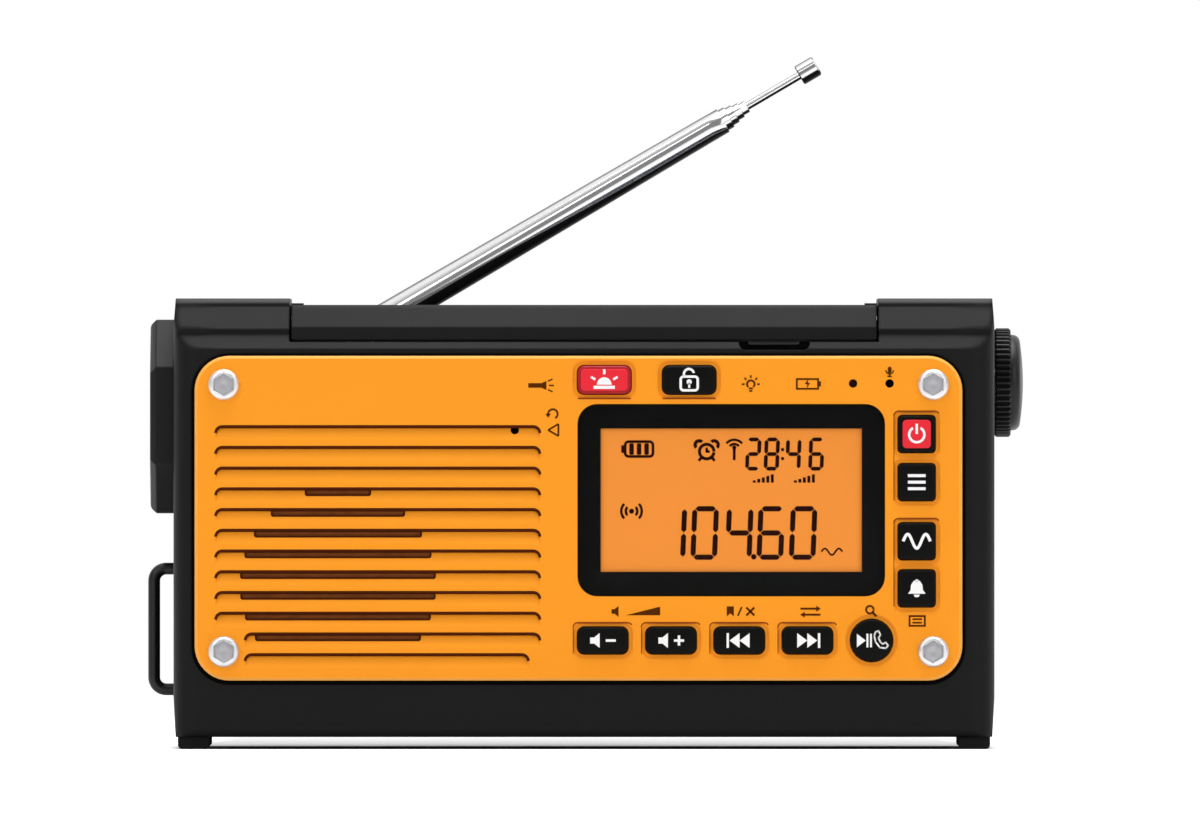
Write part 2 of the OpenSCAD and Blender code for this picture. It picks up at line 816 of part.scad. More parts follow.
// Faceplate
module bevelled_plate() {
    x = face_x;
    z = face_z;
    along_y(face_front + face_bevel, face_back) translate([x, z]) rounded(face_w, face_h, face_r);
    along_x(x - face_w / 2 + face_r, x + face_w / 2 - face_r) polygon([
        [face_front + face_bevel, z - face_h / 2], [face_front, z - face_h / 2 + face_bevel],
        [face_front, z + face_h / 2 - face_bevel], [face_front + face_bevel, z + face_h / 2]
    ]);
    translate([0, 0, z - face_h / 2 + face_r]) linear_extrude(face_h - 2 * face_r) polygon([
        [x - face_w / 2, face_front + face_bevel], [x - face_w / 2 + face_bevel, face_front],
        [x + face_w / 2 - face_bevel, face_front], [x + face_w / 2, face_front + face_bevel]
    ]);
    for (sx = [-1, 1], sz = [-1, 1])
        translate([x + sx * (face_w / 2 - face_r), face_front + face_bevel, z + sz * (face_h / 2 - face_r)])
            rotate([90, 0, 0]) cylinder(h = face_bevel, r1 = face_r, r2 = face_r - face_bevel);
}

function groove_z(n) = groove_top - n * groove_pitch;
function groove_x0(n) = n < groove_n - 2 ? groove_left : groove_left + groove_short;
function groove_x1(n) = n < groove_n - 1 ? groove_right : groove_right - groove_last_short;
function slot_half(n) = sqrt(max(1, pow(speaker_d / 2, 2) - pow(groove_z(n) - slot_h / 2 - speaker_z, 2)));

// One louvre: deepest along its top edge, ramping out to the surface below it
module groove(n) {
    z = groove_z(n);
    over = 0.2;
    low = z - groove_h * (1 + over / groove_depth);
    intersection() {
        along_x(groove_x0(n), groove_x1(n)) polygon([
            [face_front - over, z], [face_front + groove_depth, z], [face_front - over, low]
        ]);
        along_y(face_front - past, face_back)
            translate([(groove_x0(n) + groove_x1(n)) / 2, (z + low) / 2 - past])
                rounded(groove_x1(n) - groove_x0(n), z - low + 2 * past, groove_end_r);
    }
}

module faceplate() color([0.98, 0.63, 0.16]) {
    difference() {
        bevelled_plate();
        along_y(face_front - past, face_back + past) {
            translate([window_x, window_z]) rounded(window_w, window_h, window_r);
            for (k = keys)
                translate([k[0], k[1]]) rounded(k[2] + 2 * key_gap, k[3] + 2 * key_gap, k[4] + key_gap);
            for (p = [charge_at, mic_at, reset_at]) translate(p) circle(d = pin_hole_d);
            for (p = face_screws) translate(p) circle(d = screw_d + 2 * fit_gap);
            for (n = [slot_first:slot_last])
                translate([speaker_x, groove_z(n) - slot_h / 2]) rounded(2 * slot_half(n), slot_h, slot_r);
        }
        along_y(face_front - past, face_front + key_recess_depth)
            for (k = keys)
                translate([k[0], k[1]])
                    rounded(k[2] + 2 * key_recess, k[3] + 2 * key_recess, k[4] + key_recess);
        for (n = [0:groove_n - 1]) groove(n);
    }
}

module faceplate_screws() color([0.82, 0.82, 0.84])
    for (p = face_screws)
        difference() {
            union() {
                rod_y(p[0], p[1], screw_head_d, face_front - screw_head_h, face_front);
                rod_y(p[0], p[1], screw_d, face_front - eps, board_front - screw_tip_gap);
            }
            translate([p[0], face_front - hex_floor, p[1]]) rotate([90, 30, 0])
                cylinder(d = hex_d, h = screw_head_h, $fn = 6);
        }

module case_screws() color([0.5, 0.5, 0.52])
    for (p = case_screw_places)
        difference() {
            union() {
                rod_y(p[0], p[1], case_screw_head_d, case_screw_seat, case_screw_seat + case_screw_head_h);
                rod_y(p[0], p[1], case_screw_d, case_screw_tip, case_screw_seat + eps);
            }
            translate([p[0], case_screw_seat + case_screw_head_h / 2, p[1]])
                for (a = [0, 90]) rotate([0, a, 0])
                    box(-case_screw_d / 2, case_screw_d / 2, 0, past + case_screw_head_h,
                        -cross_w / 2, cross_w / 2);
        }

// Display
module display_lens() color([0.1, 0.1, 0.1, 0.5])
    along_y(face_front + lens_sink, face_front + lens_sink + lens_t) translate([window_x, window_z])
        rounded(window_w - 2 * fit_gap, window_h - 2 * fit_gap, window_r - fit_gap);

module display_mask() color([0.05, 0.05, 0.05])
    along_y(face_front + lens_sink + lens_t, face_back) translate([window_x, window_z])
        difference() {
            rounded(window_w - 2 * fit_gap, window_h - 2 * fit_gap, window_r - fit_gap);
            square([lcd_w, lcd_h], center = true);
        }

module lcd_module() color([0.95, 0.6, 0.25]) {
    translate([window_x, 0, window_z]) {
        along_y(face_back, wall_in) square([lcd_body_w, lcd_body_h], center = true);
        along_y(wall_in, board_front) square([lcd_w, lcd_h], center = true);
    }
}

// Boards
module main_board() color([0.1, 0.35, 0.18])
    difference() {
        box(board_left, board_right, board_front, board_back, board_z0, board_z1);
        for (p = board_screw_places)
            rod_y(p[0], p[1], small_screw_d + 2 * fit_gap, board_front - past, board_back + past);
    }

mic_d = 4;
mic_h = 2.2;
reset_w = 4;
reset_h = 3;
chip_t = 1.2;
// Place beside the window middle, and side, of each chip
chips = [[-1, 14], [17, 9]];

module board_parts() color([0.18, 0.18, 0.2]) {
    rod_y(charge_at[0], charge_at[1], pin_hole_d - 2 * fit_gap, face_front + lens_sink, board_front);
    rod_y(mic_at[0], mic_at[1], mic_d, board_front - mic_h, board_front);
    box(reset_at[0] - reset_w / 2, reset_at[0] + reset_w / 2, board_front - reset_h, board_front,
        reset_at[1] - reset_w / 2, reset_at[1] + reset_w / 2);
    for (c = chips)
        box(window_x + c[0] - c[1] / 2, window_x + c[0] + c[1] / 2, board_back, board_back + chip_t,
            window_z - c[1] / 2, window_z + c[1] / 2);
}

module inner_screws() color([0.7, 0.7, 0.72]) {
    for (p = board_screw_places) {
        rod_y(p[0], p[1], small_screw_d, board_back - small_screw_l, board_back + eps);
        rod_y(p[0], p[1], small_head_d, board_back, board_back + small_head_h);
    }
    for (p = plate_posts) {
        rod_y(p[0], p[1], small_screw_d, plate_y - eps, plate_y + small_screw_l);
        rod_y(p[0], p[1], small_head_d, plate_y - small_head_h, plate_y);
    }
}

module key_switches() color([0.2, 0.2, 0.22])
    for (k = keys)
        difference() {
            box(k[0] - switch_w / 2, k[0] + switch_w / 2, board_front - switch_h, board_front,
                k[1] - switch_w / 2, k[1] + switch_w / 2);
            rod_y(k[0], k[1], stem_d + 2 * move_gap, board_front - switch_h - past,
                  board_front - switch_h + stem_in + key_travel + move_gap);
        }

// Keys: cap through the plate, flange behind the front wall, stem to its switch
module key(i) {
    k = keys[i];
    flange_y = wall_in + move_gap / 2;
    along_y(face_front - key_proud, flange_y) translate([k[0], k[1]]) rounded(k[2], k[3], k[4]);
    along_y(flange_y, flange_y + 1) translate([k[0], k[1]])
        rounded(k[2] + 2 * key_flange, k[3] + 2 * key_flange, k[4] + key_flange);
    rod_y(k[0], k[1], stem_d, flange_y + 1 - eps, board_front - switch_h + stem_in);
}

key_black = [0.06, 0.06, 0.06];
key_red = [0.95, 0.16, 0.26];

module sos_button() color(key_red) key(0);
module lock_button() color(key_black) key(1);
module power_button() color(key_black) key(2);
module mode_button() color(key_black) key(3);
module band_button() color(key_black) key(4);
module alert_button() color(key_black) key(5);
module volume_down_button() color(key_black) key(6);
module volume_up_button() color(key_black) key(7);
module previous_button() color(key_black) key(8);
module next_button() color(key_black) key(9);
module play_button() color(key_black) key(10);

// Speaker: cloth in the wall opening, basket with magnet, paper cone
speaker_back = wall_in + speaker_depth;
cloth_t = 0.6;
magnet_r = 0.63 * speaker_d / 2;
magnet_h = 5.5;
basket_t = 1;
cone_r = speaker_d / 2 - speaker_lip - move_gap;
cone_throat_r = 0.28 * cone_r;
cone_depth = speaker_depth - magnet_h - 2 * basket_t;
cone_t = 0.7;

module speaker_mesh() color([0.25, 0.1, 0.05])
    rod_y(speaker_x, speaker_z, speaker_d, face_back, face_back + cloth_t);

module speaker_frame() color([0.55, 0.55, 0.57]) {
    r = speaker_d / 2;
    rim = wall_in + speaker_lip;
    magnet = speaker_back - magnet_h;
    difference() {
        spin_y(speaker_x, speaker_z, [
            [r - speaker_lip, wall_in], [r + speaker_flange, wall_in], [r + speaker_flange, rim], [r, rim],
            [magnet_r, magnet - basket_t], [magnet_r, speaker_back], [0, speaker_back], [0, magnet],
            [magnet_r - basket_t, magnet], [magnet_r - basket_t, magnet - 1.2 * basket_t],
            [r - speaker_lip, rim]
        ]);
        for (p = face_screws) rod_y(p[0], p[1], boss_d + 2 * move_gap, wall_in - past, speaker_back);
    }
}

module speaker_cone() color([0.16, 0.16, 0.17])
    spin_y(speaker_x, speaker_z, [
        [0, wall_in + cone_depth / 2], [cone_throat_r, wall_in + cone_depth - 1.5 * cone_t],
        [cone_r - cone_t, wall_in + cone_t / 2], [cone_r, wall_in + cone_t / 2],
        [cone_r, wall_in + 1.3 * cone_t], [cone_r - cone_t, wall_in + 1.6 * cone_t],
        [cone_throat_r, wall_in + cone_depth],
        [0, wall_in + cone_depth / 2 + 1.5 * cone_t]
    ]);

// Tuning knob on its encoder
module ribbed(d, n, depth) {
    polygon([
        for (i = [0:2 * n - 1])
            let (r = d / 2 - (i % 2) * depth, a = i * 180 / n) [r * cos(a), r * sin(a)]
    ]);
}

knob_x = half_w + move_gap;
knob_end = knob_x + knob_ring_w + knob_cap_l;
knob_chamfer = 1.2;
rib_depth = 0.5;

module tuning_knob() color([0.09, 0.09, 0.09])
    difference() {
        union() {
            along_x(knob_x, knob_x + knob_ring_w)
                translate([knob_y, knob_z]) ribbed(knob_d, knob_ribs, rib_depth);
            spin_x(knob_y, knob_z, [
                [0, knob_x + eps], [knob_cap_d / 2, knob_x + eps],
                [knob_cap_d / 2, knob_end - knob_chamfer], [knob_cap_d / 2 - knob_chamfer, knob_end],
                [0, knob_end]
            ]);
        }
        rod_x(knob_y, knob_z, shaft_d + 2 * run_gap, knob_x - past, knob_x + knob_ring_w + past);
    }

module encoder_shaft() color([0.7, 0.7, 0.72])
    rod_x(knob_y, knob_z, shaft_d, end_in - encoder_l + encoder_floor + fit_gap,
          knob_x + knob_ring_w + past - run_gap);

module tuning_encoder() color([0.45, 0.47, 0.5])
    difference() {
        union() {
            box(end_in - encoder_l, end_in, knob_y - encoder_body / 2, knob_y + encoder_body / 2,
                knob_z - encoder_body / 2, knob_z + encoder_body / 2);
            rod_x(knob_y, knob_z, bush_d, end_in - eps, half_w);
        }
        rod_x(knob_y, knob_z, shaft_d + 2 * run_gap, end_in - encoder_l + encoder_floor, half_w + past);
    }

// Torch in the left end wall
module octagon(size, bevel) {
    h = size / 2;
    b = h - bevel;
    polygon([[-h, -b], [-b, -h], [b, -h], [h, -b], [h, b], [b, h], [-b, h], [-h, b]]);
}

torch_edge = 1.2;
torch_face = -half_w - torch_proud;
torch_lens_x = -half_w - torch_lens_t;

module torch_bezel() color([0.1, 0.1, 0.1])
    difference() {
        translate([0, torch_y, torch_z]) hull() {
            along_x(torch_face + torch_edge, -half_w) octagon(torch_size, torch_bevel);
            along_x(torch_face, torch_face + torch_edge) octagon(torch_size - 2 * torch_edge, torch_bevel);
        }
        rod_x(torch_y, torch_z, torch_open, torch_face - past, -half_w + past);
        rod_x(torch_y, torch_z, reflector_d + 2 * fit_gap, torch_lens_x, -half_w + past);
    }

module torch_lens() color([0.85, 0.9, 0.95, 0.5])
    rod_x(torch_y, torch_z, reflector_d, torch_lens_x, -half_w);

led_hole_r = 3;
bowl_collar = 5;
bowl_foot = 6;
led_h = 2.6;
led_base_r = 6;
bowl_rim = reflector_d / 2 - 1;
bowl_end = -half_w + reflector_depth;
function bowl_x(r) = bowl_end - 1 - (reflector_depth - 1) * (r * r - led_hole_r * led_hole_r)
    / (bowl_rim * bowl_rim - led_hole_r * led_hole_r);

module torch_reflector() color([0.85, 0.85, 0.88])
    spin_x(torch_y, torch_z, concat(
        [[reflector_d / 2, -half_w], [reflector_d / 2, -half_w + bowl_collar],
         [led_hole_r + bowl_foot, bowl_end], [led_hole_r, bowl_end]],
        [for (i = [0:7]) let (r = led_hole_r + (bowl_rim - led_hole_r) * i / 7) [r, bowl_x(r)]]
    ));

module torch_led() color([0.95, 0.95, 0.8]) {
    rod_x(torch_y, torch_z, 2 * led_hole_r - 2 * fit_gap, bowl_end - led_h, bowl_end + eps);
    rod_x(torch_y, torch_z, 2 * led_base_r, bowl_end, bowl_end + board_t);
}

// Strap loop: bent wire with both legs in the wall
module strap_loop() color([0.05, 0.05, 0.05]) {
    bend = loop_wire;
    x = -half_w - loop_reach + loop_wire / 2;
    rise = (loop_h - loop_wire) / 2;
    for (s = [-1, 1]) {
        rod_x(loop_y, loop_z + s * rise, loop_wire, x + bend, -end_in + loop_leg_in);
        translate([x + bend, loop_y, loop_z + s * (rise - bend)])
            rotate([90, 0, 0]) rotate([0, 0, s > 0 ? 90 : 180])
                rotate_extrude(angle = 90) translate([bend, 0]) circle(d = loop_wire);
    }
    translate([x, loop_y, loop_z - rise + bend]) cylinder(d = loop_wire, h = 2 * (rise - bend));
}

// Lid with solar cell above and reading lamp below
lid_band = 2.5;
lid_slope = 3;
lid_edge = 0.5;
cell_margin = 5;
cell_t = 1.4;
cell_gap = 3;
cell_sink = 0.2;
cell_y0 = lid_front + lid_slope + cell_gap;
cell_y1 = hinge_y - 1;
lamp_inset = 16;
lamp_setback = 8;
lamp_w = 14;
lamp_half = lid_half - lamp_inset;
lamp_y0 = lid_front + lamp_setback;
lamp_y1 = lamp_y0 + lamp_w;
lamp_depth = 3;
lamp_board_t = 0.8;
diffuser_t = 1.2;
lamp_led = 3;
lamp_led_h = 0.6;
lamp_led_step = (lamp_half - lamp_led) / 4.5;

module lamp_lid() color([0.13, 0.13, 0.13])
    difference() {
        along_x(-lid_half, lid_half) polygon(concat(
            [[lid_front, lid_bottom], [lid_front, lid_bottom + lid_band],
             [lid_front + lid_slope, lid_top - lid_edge], [lid_front + lid_slope + 2 * lid_edge, lid_top]],
            [for (a = [90:-15:-90]) [hinge_y + lid_t / 2 * cos(a), hinge_z + lid_t / 2 * sin(a)]]
        ));
        box(-lid_half + cell_margin, lid_half - cell_margin, cell_y0, cell_y1,
            lid_top - cell_t, lid_top + past);
        box(-lamp_half, lamp_half, lamp_y0, lamp_y1, lid_bottom - past, lid_bottom + lamp_depth);
        for (s = [-1, 1])
            rod_x(hinge_y, hinge_z, hinge_pin_d + 2 * run_gap, s * lid_half - hinge_pin_in,
                  s * lid_half + hinge_pin_in);
    }

module solar_cell() color([0.08, 0.1, 0.2])
    box(-lid_half + cell_margin + fit_gap, lid_half - cell_margin - fit_gap, cell_y0 + fit_gap,
        cell_y1 - fit_gap, lid_top - cell_t, lid_top - cell_sink);

module lamp_board() color([0.9, 0.9, 0.88]) {
    ceiling = lid_bottom + lamp_depth;
    box(-lamp_half + fit_gap, lamp_half - fit_gap, lamp_y0 + fit_gap, lamp_y1 - fit_gap,
        ceiling - lamp_board_t, ceiling);
    for (i = [-4:4])
        translate([i * lamp_led_step, (lamp_y0 + lamp_y1) / 2, ceiling - lamp_board_t - lamp_led_h])
            box(-lamp_led / 2, lamp_led / 2, -lamp_led / 2, lamp_led / 2, 0, lamp_led_h + eps);
}

module lamp_diffuser() color([0.95, 0.95, 0.95, 0.8])
    box(-lamp_half + fit_gap, lamp_half - fit_gap, lamp_y0 + fit_gap, lamp_y1 - fit_gap,
        lid_bottom, lid_bottom + diffuser_t);

module lid_hinge_pins() color([0.75, 0.75, 0.77])
    for (s = [-1, 1]) {
        a = s * (lid_half - hinge_pin_in + move_gap);
        b = s * (bay_half + wall);
        rod_x(hinge_y, hinge_z, hinge_pin_d, min(a, b), max(a, b));
    }

// Antenna, drawn along X from its pivot and then raised
module raised() {
    translate([antenna_x, antenna_y, antenna_z]) rotate([0, -antenna_angle, 0]) children();
}

swivel_d = 3.4;
swivel_disc_d = 6;
ear_d = 4.4;
ear_t = 1.3;
tongue_t = 2.1;
tilt_pin_d = 1.6;
disc_gap = 0.2;
ear_gap = 0.4;
tongue_gap = 0.1;
disc_y0 = channel_y - antenna_y + disc_gap;
disc_y1 = -ear_d / 2 - ear_gap;
collar_x = 3.4;
bore_x = 8;
tube_lap = 0.6;

module antenna_bush() color([0.75, 0.7, 0.5])
    difference() {
        rod_y(antenna_x, antenna_z, bush_od, bay_back, channel_y);
        rod_y(antenna_x, antenna_z, swivel_d + 2 * run_gap, bay_back - past, channel_y + past);
    }

module antenna_swivel() color([0.8, 0.8, 0.82])
    raised() {
        rod_y(0, 0, swivel_d, bay_back - antenna_y, disc_y0 + eps);
        rod_y(0, 0, swivel_disc_d, disc_y0, disc_y1);
        for (s = [-1, 1]) {
            z = s * (tongue_t / 2 + run_gap * 2 + ear_t / 2);
            translate([0, 0, z - ear_t / 2]) linear_extrude(ear_t) {
                circle(d = ear_d);
                translate([-ear_d / 2, disc_y1 - eps]) square([ear_d, -disc_y1 + eps]);
            }
        }
        translate([0, 0, -tongue_t / 2 - ear_t]) cylinder(d = tilt_pin_d, h = tongue_t + 2 * ear_t);
    }

module antenna_base_tube() color([0.86, 0.86, 0.88])
    raised()
        difference() {
            union() {
                translate([0, 0, -tongue_t / 2]) linear_extrude(tongue_t) {
                    circle(d = ear_d - 2 * tongue_gap);
                    translate([0, tongue_gap - ear_d / 2])
                        square([collar_x + past, ear_d - 2 * tongue_gap]);
                }
                spin_x(0, 0, [[0, collar_x], [antenna_foot_d / 2, collar_x], [antenna_d / 2, antenna_l],
                              [0, antenna_l]]);
            }
            translate([0, 0, -tongue_t]) cylinder(d = tilt_pin_d + 2 * run_gap, h = 2 * tongue_t);
            rod_x(0, 0, antenna_d - 2 * antenna_wall, bore_x, antenna_l + past);
        }

function tube_d(i) = antenna_d - 2 * i * (antenna_wall + run_gap);

module inner_tube(i) color([0.86, 0.86, 0.88])
    raised()
        difference() {
            rod_x(0, 0, tube_d(i), bore_x + i * tube_lap, antenna_l + i * antenna_step);
            rod_x(0, 0, tube_d(i) - 2 * antenna_wall, 0, antenna_l + i * antenna_step + past);
        }

module antenna_tube_2() inner_tube(1);
module antenna_tube_3() inner_tube(2);
module antenna_tube_4() inner_tube(3);
module antenna_tube_5() inner_tube(4);

module antenna_tip() color([0.86, 0.86, 0.88]) {
    tip_x = antenna_l + 4 * antenna_step + antenna_rod_l;
    raised() {
        rod_x(0, 0, antenna_rod_d, bore_x + antenna_rod_l + past, tip_x + eps);
        rod_x(0, 0, antenna_tip_d, tip_x, tip_x + antenna_tip_l);
    }
}

// Crank: arm pointing left, its handle folded into the slot of the arm
module on_crank() {
    translate([crank_x, 0, crank_z]) rotate([0, 180, 0]) children();
}

hub_rim = 2;
hub_d = crank_w + 2 * hub_rim;
hub_seat = 3.6;
shaft_past = 0.8;
idler_past = 0.4;
spacer_rim = 2;
handle_y = arm_back + crank_t / 2;
handle_room = handle_d + 2 * slot_clear;

module crank_arm() color([0.1, 0.1, 0.1])
    on_crank() {
        difference() {
            along_y(arm_back, arm_back + crank_t) {
                circle(d = hub_d);
                translate([0, -crank_w / 2]) square([crank_l - crank_w / 2, crank_w]);
                translate([crank_l - crank_w / 2, 0]) circle(d = crank_w);
            }
            box(handle_pivot_x - handle_l - slot_clear, handle_pivot_x + handle_room / 2,
                arm_back - past, arm_back + crank_t + past, -handle_room / 2, handle_room / 2);
            rod_y(0, 0, crank_shaft_d + 2 * run_gap, arm_back - past, arm_back + hub_seat);
        }
        translate([handle_pivot_x, handle_y, -handle_room / 2 - past])
            cylinder(d = handle_pin_d, h = handle_room + 2 * past);
    }

module crank_handle() color([0.16, 0.16, 0.16])
    on_crank()
        difference() {
            union() {
                translate([handle_pivot_x, handle_y, 0]) sphere(d = handle_d);
                translate([handle_pivot_x - handle_l, handle_y, 0]) rotate([0, 90, 0])
                    cylinder(d = handle_d, h = handle_l);
            }
            translate([handle_pivot_x, handle_y, -handle_d])
                cylinder(d = handle_pin_d + 2 * run_gap, h = 2 * handle_d);
        }

// Gears with involute flanks, drawn with one tooth along X
function involute(a) = tan(a) * 180 / PI - a;
function flank_angle(teeth, r) =
    let (pitch_r = tooth_module * teeth / 2, base_r = pitch_r * cos(pressure_angle))
    90 / teeth - backlash / 4 / pitch_r * 180 / PI + involute(pressure_angle)
        - involute(acos(min(1, base_r / r)));
function tooth_points(teeth, at) =
    let (pitch_r = tooth_module * teeth / 2, root_r = pitch_r - dedendum, tip_r = pitch_r + addendum,
         low_r = max(root_r, pitch_r * cos(pressure_angle)),
         radii = [for (i = [0:3]) low_r + (tip_r - low_r) * i / 3],
         up = [for (r = radii) [r, -flank_angle(teeth, r)]],
         down = [for (i = [3:-1:0]) [radii[i], flank_angle(teeth, radii[i])]],
         ends = [[root_r - eps, flank_angle(teeth, low_r)]])
    [for (p = concat([[root_r - eps, -flank_angle(teeth, low_r)]], up, down, ends))
        [p[0] * cos(p[1] + at), p[0] * sin(p[1] + at)]];

module gear(teeth, turn) {
    polygon([for (i = [0:teeth - 1]) each tooth_points(teeth, turn + i * 360 / teeth)]);
}

module crank_gear() color([0.92, 0.92, 0.9]) {
    along_y(crank_gear_y, crank_gear_y + gear_w) translate([crank_x, crank_z]) gear(crank_teeth, 180);
    rod_y(crank_x, crank_z, crank_shaft_d, plate_y - shaft_past, arm_back + hub_seat - fit_gap);
    rod_y(crank_x, crank_z, crank_shaft_d + 2 * spacer_rim, crank_gear_y + gear_w - eps,
          dish_in - move_gap);
}

// The wheel's tooth faces left, where the generator pinion shows it a gap
module idler_gear() color([0.92, 0.92, 0.9]) {
    along_y(idler_wheel_y + gear_w - eps, dish_in - 2 * move_gap) translate([idler_x, crank_z])
        gear(idler_small_teeth, 180 / idler_small_teeth);
    along_y(idler_wheel_y, idler_wheel_y + gear_w) translate([idler_x, crank_z])
        gear(idler_large_teeth, 180);
    rod_y(idler_x, crank_z, idler_shaft_d, plate_y - idler_past, dish_in + idler_seat);
}

generator_seat = 5;

module generator_pinion() color([0.8, 0.72, 0.4]) {
    along_y(idler_wheel_y - move_gap, idler_wheel_y + gear_w + move_gap) translate([generator_x, crank_z])
        gear(generator_teeth, 180 / generator_teeth);
    rod_y(generator_x, crank_z, generator_shaft_d, plate_y - generator_seat, idler_wheel_y);
}

module generator() color([0.62, 0.63, 0.66])
    difference() {
        rod_y(generator_x, crank_z, generator_d, generator_y, plate_y);
        rod_y(generator_x, crank_z, generator_shaft_d + 2 * run_gap,
              plate_y - generator_seat - move_gap, plate_y + past);
    }

module gearbox_plate() color([0.66, 0.66, 0.68])
    difference() {
        box(post_left - plate_rim, post_right + plate_rim, plate_y, plate_y + plate_t,
            crank_z - post_rise - plate_rim, crank_z + post_rise + plate_rim);
        rod_y(crank_x, crank_z, crank_shaft_d + 2 * run_gap, plate_y - past, plate_y + plate_t + past);
        rod_y(idler_x, crank_z, idler_shaft_d + 2 * run_gap, plate_y - past, plate_y + plate_t + past);
        rod_y(generator_x, crank_z, generator_shaft_d + 2 * spacer_rim, plate_y - past,
              plate_y + plate_t + past);
        for (p = plate_posts)
            rod_y(p[0], p[1], small_screw_d + 2 * fit_gap, plate_y - past, plate_y + plate_t + past);
    }

// Power and reception
module battery() color([0.2, 0.45, 0.75]) {
    rod_x(battery_y, battery_z, battery_d, battery_x0, battery_x0 + battery_l);
    rod_x(battery_y, battery_z, battery_d / 3, battery_x0 + battery_l - eps, battery_x0 + battery_l + past);
}

module battery_holder() color([0.15, 0.15, 0.16])
    difference() {
        box(battery_x0 - holder_t - holder_left, battery_x0 + battery_l + holder_t + holder_right,
            battery_y - battery_d / 2 - holder_t, battery_y + battery_d / 2 + holder_t,
            floor_in, battery_z);
        rod_x(battery_y, battery_z, battery_d + 2 * fit_gap, battery_x0 - fit_gap,
              battery_x0 + battery_l + past + fit_gap);
    }

module ferrite_rod() color([0.22, 0.2, 0.2])
    rod_x(ferrite_y, ferrite_z, ferrite_d, ferrite_x0, ferrite_x0 + ferrite_l);

// Ports behind a rubber cover in the right end wall
module port_cover() color([0.08, 0.08, 0.08])
    along_y(cover_y - cover_l / 2, cover_y + cover_l / 2) {
        translate([cover_axis_x, cover_axis_z]) circle(d = cover_t);
        translate([half_w - cover_t, cover_axis_z]) square([cover_t, cover_h - cover_t / 2]);
    }

module port_board() color([0.1, 0.35, 0.18])
    difference() {
        union() {
            box(port_board_x, port_board_x + board_t, cover_y - cover_l / 2 + 1, cover_y + cover_l / 2,
                cover_z - port_half, cover_z + port_half);
            along_x(port_board_x + board_t - eps, pad_in) port_outlines(0);
        }
        along_x(pad_in - port_depth + 1, pad_in + past) port_outlines(-port_shell);
    }

front_case();
rear_case();
faceplate();
faceplate_screws();
case_screws();
display_lens();
display_mask();
lcd_module();
main_board();
board_parts();
inner_screws();
key_switches();
sos_button();
lock_button();
power_button();
mode_button();
band_button();
alert_button();
volume_down_button();
volume_up_button();
previous_button();
next_button();
play_button();
speaker_mesh();
speaker_frame();
speaker_cone();
tuning_knob();
encoder_shaft();
tuning_encoder();
torch_bezel();
torch_lens();
torch_reflector();
torch_led();
strap_loop();
feet();
lamp_lid();
solar_cell();
lamp_board();
lamp_diffuser();
lid_hinge_pins();
antenna_bush();
antenna_swivel();
antenna_base_tube();
antenna_tube_2();
antenna_tube_3();
antenna_tube_4();
antenna_tube_5();
antenna_tip();
crank_arm();
crank_handle();
crank_gear();
idler_gear();
generator_pinion();
generator();
gearbox_plate();
battery();
battery_holder();
ferrite_rod();
port_cover();
port_board();
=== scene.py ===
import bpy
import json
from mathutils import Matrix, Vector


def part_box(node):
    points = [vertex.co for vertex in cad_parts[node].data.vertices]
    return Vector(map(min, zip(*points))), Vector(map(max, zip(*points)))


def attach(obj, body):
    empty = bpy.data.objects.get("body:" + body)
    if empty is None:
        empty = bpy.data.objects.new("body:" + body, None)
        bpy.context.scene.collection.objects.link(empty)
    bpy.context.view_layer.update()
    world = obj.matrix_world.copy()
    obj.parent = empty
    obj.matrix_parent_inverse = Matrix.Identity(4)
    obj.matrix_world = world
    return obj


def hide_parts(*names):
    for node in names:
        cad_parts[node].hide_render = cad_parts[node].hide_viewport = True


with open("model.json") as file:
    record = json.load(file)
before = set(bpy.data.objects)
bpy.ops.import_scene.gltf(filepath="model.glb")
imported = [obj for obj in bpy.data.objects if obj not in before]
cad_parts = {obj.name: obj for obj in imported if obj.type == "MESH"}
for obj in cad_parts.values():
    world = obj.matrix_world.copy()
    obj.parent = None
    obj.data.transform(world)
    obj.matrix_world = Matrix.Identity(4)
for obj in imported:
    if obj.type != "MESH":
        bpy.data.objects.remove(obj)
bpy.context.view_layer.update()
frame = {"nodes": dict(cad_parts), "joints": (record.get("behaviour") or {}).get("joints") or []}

import json
import math

import bmesh
import bpy
from mathutils import Vector

MM = 0.001
NODES = frame["nodes"]
JOINTS = {joint["name"]: joint for joint in frame["joints"]}

# Boxes and planes taken from the frame, in metres
PLATE_LO, PLATE_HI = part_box("faceplate")
PLATE_Y = PLATE_LO.y
LENS_LO, LENS_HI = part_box("display_lens")
LID_LO, LID_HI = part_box("lamp_lid")
CELL_LO, CELL_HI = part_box("solar_cell")
CASE_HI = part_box("rear_case")[1]


# Materials: nodes and their links

SHADER = "Principled BSDF"
COAT_ROUGH = 0.15
BEVEL_SAMPLES = 6
NOISE_LOW, NOISE_HIGH = 0.3, 0.7
CLOUD_SCALE, BRUSH_SCALE = 60, 900
GLOSS_VARY = 0.03


def feed(mat, value, into):
    """Gives an input a constant, or links it to the output of another node."""
    if isinstance(value, bpy.types.NodeSocket):
        mat.node_tree.links.new(value, into)
    else:
        into.default_value = value


def node_of(mat, kind, inputs=None, **settings):
    """A new node with its settings, and inputs that are constants or outputs of other nodes."""
    node = mat.node_tree.nodes.new(kind)
    for key, value in settings.items():
        setattr(node, key, value)
    for key, value in (inputs or {}).items():
        feed(mat, value, node.inputs[key])
    return node


def set_shader(mat, key, value):
    feed(mat, value, mat.node_tree.nodes[SHADER].inputs[key])


